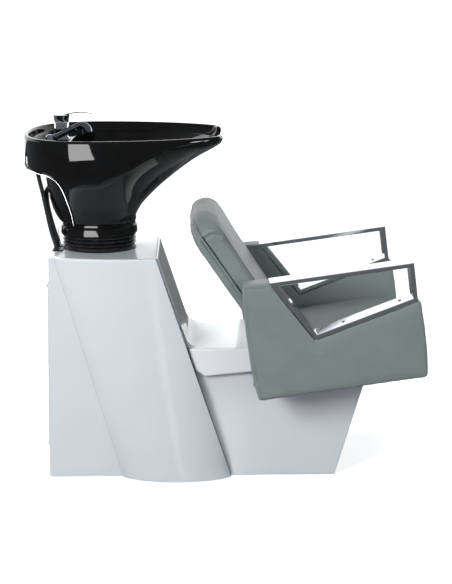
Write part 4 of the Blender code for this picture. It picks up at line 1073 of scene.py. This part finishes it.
def read_points(items, attribute):
    flat = np.empty(len(items) * 3, np.float32)
    items.foreach_get(attribute, flat)
    return flat.reshape(-1, 3).astype(float)


def coordinates(mesh):
    return read_points(mesh.vertices, "co")


def vertex_normals(mesh):
    return read_points(mesh.vertex_normals, "vector")


def set_coordinates(mesh, points):
    mesh.vertices.foreach_set("co", points.astype(np.float32).ravel())
    mesh.update()


def swollen(obj, pressure):
    """Where the piece's points go when it is blown up as cloth, without gravity."""
    cloth = obj.modifiers.new("swell", "CLOTH")
    cloth.settings.quality = 5
    cloth.settings.mass = 0.3
    cloth.settings.use_pressure = True
    cloth.settings.uniform_pressure_force = pressure
    cloth.settings.effector_weights.gravity = 0.0
    cloth.point_cache.frame_start = 1
    cloth.point_cache.frame_end = SWELL_FRAMES
    for number in range(1, SWELL_FRAMES + 1):
        bpy.context.scene.frame_set(number)
    evaluated = obj.evaluated_get(bpy.context.evaluated_depsgraph_get())
    points = coordinates(evaluated.data)
    obj.modifiers.clear()
    bpy.context.scene.frame_set(1)
    return points


def stuffed(name, shape, voxel, pressure, cap, settle):
    """Skin of a stuffed piece: remeshed, swollen by at most cap, smoothed and subdivided."""
    obj = new_mesh_object(name, *shape, LEATHER, 60.0)
    remesh = obj.modifiers.new("remesh", "REMESH")
    remesh.mode = "VOXEL"
    remesh.voxel_size = voxel
    bake(obj)
    rest = coordinates(obj.data)
    shift = swollen(obj, pressure) - rest
    size = np.linalg.norm(shift, axis=1, keepdims=True)
    shift *= cap * np.tanh(size / cap) / np.maximum(size, 1e-9)
    set_coordinates(obj.data, rest + shift)
    smooth = obj.modifiers.new("settle", "SMOOTH")
    smooth.factor = 0.5
    smooth.iterations = settle
    fine = obj.modifiers.new("fine", "SUBSURF")
    fine.levels = 1
    bake(obj)
    obj.data.shade_smooth()
    return obj


def nearest_on_line(points, line):
    """Distance of each point from a polyline, and how far along it the nearest place is."""
    best = np.full(len(points), 1e9)
    along = np.zeros(len(points))
    walked = 0.0
    for a, b in zip(line, line[1:]):
        a, b = np.array(a, float), np.array(b, float)
        span = b - a
        length = np.linalg.norm(span)
        share = np.clip((points - a) @ span / length ** 2, 0, 1)
        distance = np.linalg.norm(points - (a + share[:, None] * span), axis=1)
        closer = distance < best
        best[closer] = distance[closer]
        along[closer] = walked + share[closer] * length
        walked += length
    return best, along


def on_surface(obj, line, spacing=0.003):
    """A polyline moved onto the piece's skin, with the skin's normals."""
    tree = BVHTree.FromPolygons([v.co for v in obj.data.vertices],
                                [p.vertices for p in obj.data.polygons])
    places, normals = [], []
    for p in resample(line, spacing):
        place, normal, _, _ = tree.find_nearest(p)
        places.append(place)
        normals.append(normal)
    return places, normals


def sew(obj, line, depth=0.0012, width=0.0024, pucker=0.00035, swell=0.0006):
    """Pull the skin in along a seam, with a soft ridge and small puckers beside it."""
    places, _ = on_surface(obj, line)
    points = coordinates(obj.data)
    normals = vertex_normals(obj.data)
    distance, along = nearest_on_line(points, places)
    push = -depth * np.exp(-(distance / width) ** 2)
    push += swell * np.exp(-((distance - 2.6 * width) / (1.6 * width)) ** 2)
    waves = np.sin(math.tau * along / 0.013) + 0.6 * np.sin(math.tau * along / 0.0083 + 1.3)
    push += pucker * waves * np.exp(-((distance - 2.0 * width) / (3.0 * width)) ** 2)
    set_coordinates(obj.data, points + normals * push[:, None])


def welted_seam(name, obj, line, body, radius=0.0012):
    """A seam whose turned-in edge shows as a fine cord in a shallow groove."""
    sew(obj, line, 0.0015, 0.0030, 0.00010, 0.0006)
    places, normals = on_surface(obj, line)
    route = [p + n * 0.1 * radius for p, n in zip(places, normals)]
    cord = piece(name, tube(resample(route, 0.003), radius, 10), LEATHER, body, (), 70.0)


def stitches(name, obj, line, body, pitch=0.0052, length=0.0036, lift=0.0003):
    """A row of stitches along a seam line on a piece, each one sunk at its ends."""
    places, normals = on_surface(obj, resample(line, 0.0013), pitch / 2)
    along_and_radius = ((-1, 0.00025), (-0.6, 0.00048), (0, 0.00052), (0.6, 0.00048), (1, 0.00025))
    sides = 6
    shapes = []
    for start, end, out in zip(places[:-1:2], places[1::2], normals[:-1:2]):
        middle = start.lerp(end, 0.5) + out * lift
        forward = (end - start).normalized()
        side = forward.cross(out).normalized()
        loops = []
        for t, radius in along_and_radius:
            centre = middle + forward * 0.5 * length * t - out * (0.0004 * t * t)
            loops.append([centre + (side * math.cos(math.tau * j / sides)
                                    + out * math.sin(math.tau * j / sides)) * radius
                          for j in range(sides)])
        shapes.append(loft(loops))
    row = new_mesh_object(name, *merged(shapes), THREAD, 80.0)
    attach(row, body)
    return row


def undulate(obj, size, scale, seed):
    """Slow unevenness of hand-fitted leather."""
    points = coordinates(obj.data)
    normals = vertex_normals(obj.data)
    offset = Vector((seed, 0.37 * seed, -0.61 * seed))
    push = np.array([noise.noise(Vector(p) * scale + offset) for p in points])
    set_coordinates(obj.data, points + normals * (size * push)[:, None])


def finish_soft(obj, body, node):
    settle_on(obj, body, node)


PANEL_REAR = ((0.046, 0.590), (0.0485, 0.530), (0.0580, 0.450), (0.0700, 0.370), (0.0880, 0.292),
              (0.0935, 0.2765))


ARM_TO_REAR = (ARM_REAR_TOP - ARM_VERTEX).normalized()
ARM_TO_FRONT = (ARM_FRONT_LOW - ARM_VERTEX).normalized()
REAR_NORMAL = Vector((ARM_TO_REAR.y, -ARM_TO_REAR.x))        # both point into the arm loop
FRONT_NORMAL = Vector((-ARM_TO_FRONT.y, ARM_TO_FRONT.x))


def side_panel_outline():
    """The panel's outline in X and Z, with the V notch just clear of the arm loop."""
    clear = 0.0006
    outline = [(0.0560, 0.5985), *PANEL_REAR[:-1]]
    outline += [(0.0955, 0.2720), (0.106, 0.2712), (0.545, 0.3337), (0.5580, 0.3370), (0.5588, 0.352),
                (0.5555, 0.410), (0.5468, 0.480), (0.5350, 0.5450), (0.5300, 0.5510)]
    outline += [tuple(ARM_FRONT_LOW - FRONT_NORMAL * clear), tuple(ARM_VERTEX + Vector((0.0, -0.0009))),
                tuple(ARM_REAR_TOP - REAR_NORMAL * clear)]
    return outline


def below_notch(points):
    """Keep the leather out of the arm loop that drops into the panel's V notch."""
    rear, front = np.array(REAR_NORMAL), np.array(FRONT_NORMAL)
    place = points[:, [0, 2]] - np.array((ARM_VERTEX.x, ARM_VERTEX.y - 0.0006))
    above_rear, above_front = place @ rear, place @ front
    inside = (above_rear > 0) & (above_front > 0) & (points[:, 0] < ARM_FRONT_LOW.x + 0.004)
    to_rear = inside & (above_rear < above_front)
    to_front = inside & ~to_rear
    points[np.ix_(to_rear, [0, 2])] -= above_rear[to_rear][:, None] * rear
    points[np.ix_(to_front, [0, 2])] -= above_front[to_front][:, None] * front
    return points


def make_side_panel(side, sign):
    """Stuffed side panel with its seams, its stitches and a pucker below the notch."""
    outer, inner = sign * CHAIR_HALF_WIDTH, sign * PANEL_INNER
    low, high = sorted((outer - sign * 0.0022, inner + sign * 0.0015))
    shape = prism(side_panel_outline(), low, high)
    panel = stuffed(f"side_panel_{side}_upholstery", shape, 0.0050, 3.0, 0.0022, 1)
    set_coordinates(panel.data, below_notch(coordinates(panel.data)))
    undulate(panel, 0.0005, 7.0, 3.1 * sign)
    for face, place in (("outer", outer), ("inner", inner)):
        seam = [Vector((x + 0.0085, place, z)) for x, z in PANEL_REAR]
        seam[0].z = 0.586
        welted_seam(f"side_panel_{side}_{face}_seam", panel, seam, "base")
        stitches(f"side_panel_{side}_{face}_stitches", panel,
                 [p + Vector((0.0046, 0, 0)) for p in seam], "base")
        wrap = [Vector((0.0500, place, 0.5868)), Vector((0.0800, place, 0.5885)),
                Vector((0.1170, place, 0.5905))]
        welted_seam(f"side_panel_{side}_{face}_wrap", panel, wrap, "base", 0.0009)
    pucker = [Vector((ARM_VERTEX.x - 0.002, outer, ARM_VERTEX.y - 0.004)),
              Vector((ARM_VERTEX.x + 0.003, outer, ARM_VERTEX.y - 0.018)),
              Vector((ARM_VERTEX.x + 0.012, outer, ARM_VERTEX.y - 0.034))]
    sew(panel, pucker, 0.0013, 0.0034, 0.0, 0.0008)
    finish_soft(panel, "base", f"side_panel_{side}")


def seat_shape():
    """The cushion's outline in X and Z, lying on the sloping seat board."""
    board_low = SEAT_DECK_HEIGHT + 0.0185
    low = board_low + 0.015 + GAP
    return [(0.106, seat_line(0.106, low) + 0.006), (0.112, seat_line(0.112, low)),
            (0.535, seat_line(0.535, low)), (0.545, seat_line(0.545, low) + 0.010),
            (0.547, 0.400), (0.540, 0.426), (0.515, 0.4405), (0.440, 0.4360), (0.340, 0.4225),
            (0.240, 0.4065), (0.160, 0.3960), (0.116, 0.3890), (0.106, 0.380)]


SEAT_TOP_FROM = 0.385        # outline points above this height belong to the seat's top
# creases near the seat's sides, and how deep each is
SEAT_CREASES = (
    (((0.300, 0.232, 0.425), (0.380, 0.222, 0.434), (0.470, 0.206, 0.441)), 0.0022),
    (((0.350, 0.236, 0.428), (0.430, 0.228, 0.438), (0.500, 0.222, 0.440)), 0.0018),
    (((0.360, -0.232, 0.430), (0.430, -0.216, 0.438), (0.505, -0.190, 0.442)), 0.0018),
    (((0.420, -0.236, 0.436), (0.475, -0.226, 0.440), (0.530, -0.216, 0.432)), 0.0015),
)


def worn_in(x, y, z, edge):
    """The seat's top: a little lower where the sitter sits, rounded towards its sides."""
    dish = 0.005 * math.exp(-((x - 0.30) / 0.13) ** 2 - (y / 0.15) ** 2)
    return z - dish - 0.016 * edge ** 2.2


def make_seat():
    width, rounding = CUSHION_HALF_WIDTH - 0.001, 0.038
    half = [0.0, 0.10, 0.19] + [width - rounding * (1.0 - i / 8) for i in range(9)]
    loops = []
    for y in [-y for y in half[:0:-1]] + half:
        edge = max(0.0, (abs(y) - width + rounding) / rounding)
        loops.append([Vector((x, y, worn_in(x, y, z, edge) if z > SEAT_TOP_FROM else z))
                      for x, z in seat_shape()])
    seat = stuffed("seat_upholstery", loft(loops), 0.0060, 4.0, 0.0050, 4)
    undulate(seat, 0.0012, 8.0, 5.3)
    for line, depth in SEAT_CREASES:
        sew(seat, catmull(line, 8), depth, 0.007, 0.0, 0.0012)
    front = [Vector((0.5425, y, 0.424)) for y in np.linspace(-0.236, 0.236, 12)]
    sew(seat, front, 0.0013, 0.0024, 0.0004)
    stitches("seat_front_stitches", seat, [p + Vector((-0.006, 0, 0.008)) for p in front], "base")
    finish_soft(seat, "base", "seat_cushion")


def back_point(along, out):
    """World (x, z) of a point given along the reclined back, downwards, and out from it."""
    return (along * math.sin(BACK_ANGLE) + out * math.cos(BACK_ANGLE),
            -along * math.cos(BACK_ANGLE) + out * math.sin(BACK_ANGLE))


BACK_REAR, BACK_SEAM, BACK_FRONT = 0.3316, 0.3525, 0.3995


def back_fall(along, out, y):
    """How the back's outline changes at a width y: its top corners drop and its face thins."""
    edge = max(0.0, (abs(y) - 0.080) / (CUSHION_HALF_WIDTH - 0.080))
    upper = max(0.0, (-along - 0.500) / 0.180)
    drop = 0.046 * upper * edge ** 2.2
    if out > BACK_SEAM + 0.001:
        out = mix(out, min(out, BACK_SEAM + 0.044), edge ** 4)
    return along + drop, out


def back_place(along, out, y):
    along, out = back_fall(along, out, y)
    x, z = back_point(along, out)
    return Vector((x, y, z))


def head_bulge(along):
    """1 across the head section at the back's top, 0 below its crease."""
    return ease((-along - 0.606) / 0.036)


# outlines of the two halves of the back, as distances along it and out from it
BACK_OUTLINES = {
    "backrest_cover": [(-0.300, BACK_REAR), (-0.290, BACK_REAR + 0.010), (-0.290, BACK_SEAM),
                       (-0.500, BACK_SEAM), (-0.668, BACK_SEAM), (-0.656, BACK_REAR + 0.008),
                       (-0.638, BACK_REAR), (-0.500, BACK_REAR)],
    "backrest_cushion": [(-0.290, BACK_SEAM + GAP), (-0.290, BACK_FRONT),
                         (-0.300, BACK_FRONT + 0.004), (-0.500, BACK_FRONT + 0.006),
                         (-0.600, BACK_FRONT + 0.013), (-0.638, BACK_FRONT + 0.012),
                         (-0.658, BACK_FRONT + 0.002), (-0.671, 0.382), (-0.675, 0.366),
                         (-0.671, BACK_SEAM + GAP), (-0.500, BACK_SEAM + GAP)],
}
BACK_WIDTHS = [-CUSHION_HALF_WIDTH + 0.0016, -0.238, -0.228, -0.212, -0.195, -0.175, -0.150, -0.120,
               -0.080]
BACK_WIDTHS += [0.0] + [-w for w in reversed(BACK_WIDTHS)]


def draw_in_sides(soft, gusset):
    """Draw the sides in below the head section, and let the head stand out past them."""
    points = coordinates(soft.data)
    along = points[:, 0] * math.sin(BACK_ANGLE) - points[:, 2] * math.cos(BACK_ANGLE)
    head = np.array([head_bulge(a) for a in along])
    side = np.clip((np.abs(points[:, 1]) - 0.205) / (CUSHION_HALF_WIDTH - 0.205), 0, 1) ** 2
    points[:, 1] += np.sign(points[:, 1]) * side * (0.0030 * head - gusset * (1 - head))
    set_coordinates(soft.data, points)


def make_back_half(node, gusset):
    loops = [[back_place(along, out, y) for along, out in BACK_OUTLINES[node]] for y in BACK_WIDTHS]
    soft = stuffed(f"{node}_upholstery", loft(loops), 0.0050, 4.0, 0.0045, 3)
    draw_in_sides(soft, gusset)
    undulate(soft, 0.0009, 10.0, 7.7)
    if node == "backrest_cushion":
        sew_back(soft)
    finish_soft(soft, "base", node)
    return soft


def make_backrest():
    """Cover and cushion, and the welt between them up one side, over the top and down the other."""
    halves = [make_back_half("backrest_cover", 0.0012), make_back_half("backrest_cushion", 0.0045)]
    side = [back_place(a, BACK_SEAM, -CUSHION_HALF_WIDTH) for a in np.linspace(-0.292, -0.655, 40)]
    top = [back_place(-0.6725, BACK_SEAM, y) for y in np.linspace(-0.236, 0.236, 60)]
    line = resample(side + top + [Vector((p.x, -p.y, p.z)) for p in side[::-1]], 0.005)
    ends = [on_surface(soft, line, 0.005)[0] for soft in halves]
    welt = [a.lerp(b, 0.5) for a, b in zip(*ends)]
    for p in welt:
        if abs(p.y) > 0.215:
            p.y = math.copysign(max(abs(p.y), CUSHION_HALF_WIDTH - 0.0020), p.y)
    for _ in range(4):
        welt[1:-1] = [(a + b + c) / 3.0 for a, b, c in zip(welt, welt[1:], welt[2:])]
    piece("backrest_welt", tube(resample(welt, 0.004), 0.0030, 12), LEATHER, "base", (), 70.0)


def sew_back(soft):
    """Seams of the back's front: one near each side, and the crease below the head section."""
    for sign, side in ((-1, "right"), (1, "left")):
        seam = [back_place(a, BACK_FRONT + 0.010, sign * (CUSHION_HALF_WIDTH - 0.026))
                for a in np.linspace(-0.300, -0.645, 30)]
        welted_seam(f"backrest_{side}_seam", soft, seam, "base", 0.0014)
        stitches(f"backrest_{side}_stitches", soft,
                 [p + Vector((0, -sign * 0.0048, 0)) for p in seam], "base")
        fold = []
        for along, out, inward in ((-0.612, BACK_SEAM + 0.003, 0.0), (-0.614, 0.372, 0.0),
                                   (-0.609, 0.388, 0.002), (-0.596, 0.400, 0.010)):
            x, z = back_point(along, out)
            fold.append(Vector((x, sign * (CUSHION_HALF_WIDTH - inward), z)))
        sew(soft, catmull(fold, 8), 0.0018, 0.0034, 0.0, 0.0012)


def make_chair():
    for side, sign in (("right", -1.0), ("left", 1.0)):
        make_side_panel(side, sign)
    make_seat()
    make_backrest()


# ---------------------------------------------------------------- CAD nodes that keep their shape
def paint_cad_nodes():
    looks = {
        SHELL_WHITE: ["rear_access_panel"],
        CHROME: ["arm_loop_left", "arm_loop_right"]
        + [f"panel_screw_{i}" for i in range(1, 5)],
        STEEL: [f"bracket_bolt_{i}" for i in range(1, 5)] + ["tilt_pin_left", "tilt_pin_right"]
        + [f"arm_screw_{side}_{i}" for side in ("left", "right") for i in (1, 2)],
        BRASS: ["feed_valve_cold", "feed_valve_hot", "waste_back_nut", "mixer_back_nut"],
        BLACK_PLASTIC: [f"levelling_foot_{i}" for i in range(1, 5)] + ["waste_trap"],
        RUBBER: ["spray_hose_grommet", "feed_hose_grommet"],
        POWDER_COAT: ["bowl_support_plate", "tilt_bracket_base", "tilt_bracket_bowl",
                      "back_spacer_left", "back_spacer_right"],
        TIMBER: ["base_frame"],
        STAINED_TIMBER: ["seat_board", "seat_rail_rear", "seat_rail_front"],
    }
    for look, names in looks.items():
        for name in names:
            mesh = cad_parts[name].data
            mesh.materials.clear()
            mesh.materials.append(look)


# ---------------------------------------------------------------- floor, light and camera
def area_light(name, place, target, width, height, power, colour=(1.0, 1.0, 1.0)):
    light = bpy.data.lights.new(name, "AREA")
    light.shape = "RECTANGLE"
    light.size = width
    light.size_y = height
    light.energy = power
    light.color = colour
    obj = bpy.data.objects.new(name, light)
    obj.location = place
    obj.rotation_euler = (Vector(target) - Vector(place)).to_track_quat("-Z", "Y").to_euler()
    obj.visible_camera = False
    bpy.context.scene.collection.objects.link(obj)
    return obj


def glow(name, dark, light, strength):
    """Pale matt surface of the studio, with a little light of its own."""
    look = Look(name, light, 0.9).set(Specular_IOR_Level=0.0)
    look.vary_colour(look.noise(1.5, 2.0), dark, light)
    look.set(Emission_Color=(1.0, 1.0, 1.0, 1.0), Emission_Strength=strength)
    return look.material


def link_light(light, names, state="INCLUDE"):
    """Let a light reach only these pieces, or with EXCLUDE all but these."""
    group = bpy.data.collections.new(f"{light.name}_{state.lower()}")
    for name in names:
        group.objects.link(bpy.data.objects[name])
    for entry in group.collection_objects:
        entry.light_linking.link_state = state
    light.light_linking.receiver_collection = group


def reflected_card(name, place, target, width, height, radiance, names):
    """A glowing card that these pieces mirror, and that lights nothing else."""
    card = area_light(name, place, target, width, height, radiance * math.pi * width * height)
    card.visible_diffuse = False
    link_light(card, names)


STUDIO_REACH = 60.0
BACKDROP_Y = 7.0
BACKDROP_BEND = 1.5
STUDIO_TINTS = ((0.89, 0.90, 0.91), (0.91, 0.92, 0.93))
BASIN_PIECES = ["basin_glazed", "basin_lip"]
LIP = ["basin_lip"]
ARMS = ["arm_loop_left", "arm_loop_right"]
MOULDINGS = ["column_moulding", "saddle_moulding", "plinth_moulding"]
# name, place, target, width, height, radiance, pieces that mirror it
CARDS = (
    ("card_left", (-0.70, -1.2, 0.555), (-0.38, -0.28, 0.95), 0.54, 0.83, 11.5, BASIN_PIECES),
    ("card_right", (1.2, -0.5, 0.27), (-0.08, -0.2, 0.96), 0.5, 0.3, 12.0, BASIN_PIECES),
    ("card_edge", (-2.2, -1.6, 0.8), (-0.45, -0.2, 0.85), 2.2, 2.2, 42.0, LIP),
    ("card_floor", (-1.0, 0.6, 0.03), (-0.45, -0.15, 0.8), 1.2, 1.2, 26.0, LIP),
    ("card_ceiling", (0.0, -1.0, 4.5), (0.0, 0.0, 0.5), 5.0, 5.0, 0.8, ARMS),
    ("card_front", (0.0, -7.0, 3.2), (0.0, 0.0, 0.6), 14.0, 3.6, 0.8, ARMS),
    ("card_band", (0.07, -2.5, -0.1), (-0.15, -0.2, 0.4), 0.17, 2.2, 1.6, MOULDINGS),
    ("card_top", (-0.3, -1.5, 2.8), (-0.3, -0.2, 0.64), 2.5, 0.8, 5.0, MOULDINGS),
)


def make_floor():
    """Plain pale floor, which the polished parts and the shadows don't see."""
    corners = [Vector((x, y, 0.0)) for x, y in
               ((-STUDIO_REACH, -STUDIO_REACH), (STUDIO_REACH, -STUDIO_REACH),
                (STUDIO_REACH, BACKDROP_Y), (-STUDIO_REACH, BACKDROP_Y))]
    floor = new_mesh_object("floor", corners, [(0, 1, 2, 3)], glow("floor_paint", *STUDIO_TINTS, 0.66))
    floor.visible_glossy = False
    floor.visible_diffuse = False
    floor.visible_shadow = False


def make_backdrop():
    """Pale wall that bends up from the floor behind the object."""
    bend = BACKDROP_BEND
    sweep = [(BACKDROP_Y - 0.1, 0.0)]
    sweep += [(BACKDROP_Y + bend * math.sin(a), bend - bend * math.cos(a))
              for a in np.linspace(0.0, 0.5 * math.pi, 16)]
    sweep.append((BACKDROP_Y + bend, 7.0))
    points = [Vector((x, y, z)) for y, z in sweep for x in (-STUDIO_REACH, STUDIO_REACH)]
    faces = [(2 * k, 2 * k + 1, 2 * k + 3, 2 * k + 2) for k in range(len(sweep) - 1)]
    paint = glow("backdrop_paint", *STUDIO_TINTS, 1.05)
    new_mesh_object("backdrop", points, faces, paint)


def make_lights():
    """Dim surroundings, soft lights that don't show in the gloss, and cards that only show there."""
    world = bpy.data.worlds.new("studio")
    bpy.context.scene.world = world
    world.use_nodes = True
    background = world.node_tree.nodes["Background"]
    background.inputs["Color"].default_value = (0.90, 0.95, 1.0, 1.0)
    background.inputs["Strength"].default_value = 0.14
    bpy.context.scene.view_settings.view_transform = "Standard"

    above, middle = (0.0, 0.4, 2.9), (0.0, 0.0, 0.5)
    soft_lights = (
        area_light("overhead", above, middle, 2.4, 2.0, 18.0),
        area_light("overhead_shaded", above, middle, 2.4, 2.0, 28.0),
        area_light("front_left", (-2.4, -3.2, 2.1), (-0.1, 0.0, 0.5), 1.6, 1.6, 162.0,
                   (0.975, 0.988, 1.0)),
        area_light("front_right", (2.6, -3.0, 1.2), (0.1, 0.0, 0.5), 1.6, 1.6, 32.0,
                   (0.95, 0.98, 1.0)))
    for light in soft_lights:
        light.visible_glossy = False
    link_light(soft_lights[1], ["seat_upholstery"], "EXCLUDE")
    tray_light = area_light("tray_light", (-1.4, 1.8, 2.6), (0.0, 0.0, 0.4), 0.9, 0.9, 90.0)
    link_light(tray_light, ["saddle_moulding", "column_moulding"])
    for card in CARDS:
        reflected_card(*card)


def make_camera():
    """A long lens in front of the unit's right side, looking a little down on it."""
    camera = bpy.data.cameras.new("camera")
    camera.sensor_width = 36.0
    camera.lens = 86.3014
    obj = bpy.data.objects.new("camera", camera)
    obj.location = (-0.0902, -3.9892, 1.3977)
    obj.rotation_euler = (math.radians(90.0 - 12.5617), 0.0, math.radians(-1.4669))
    bpy.context.scene.collection.objects.link(obj)
    bpy.context.scene.camera = obj


make_camera()
make_column()
make_plinth()
make_saddle()
make_bellows()
make_basin()
make_lip()
make_waste()
make_hoses()
make_chain()
make_mixer()
make_spray()
make_chair()
paint_cad_nodes()
make_floor()
make_backdrop()
make_lights()
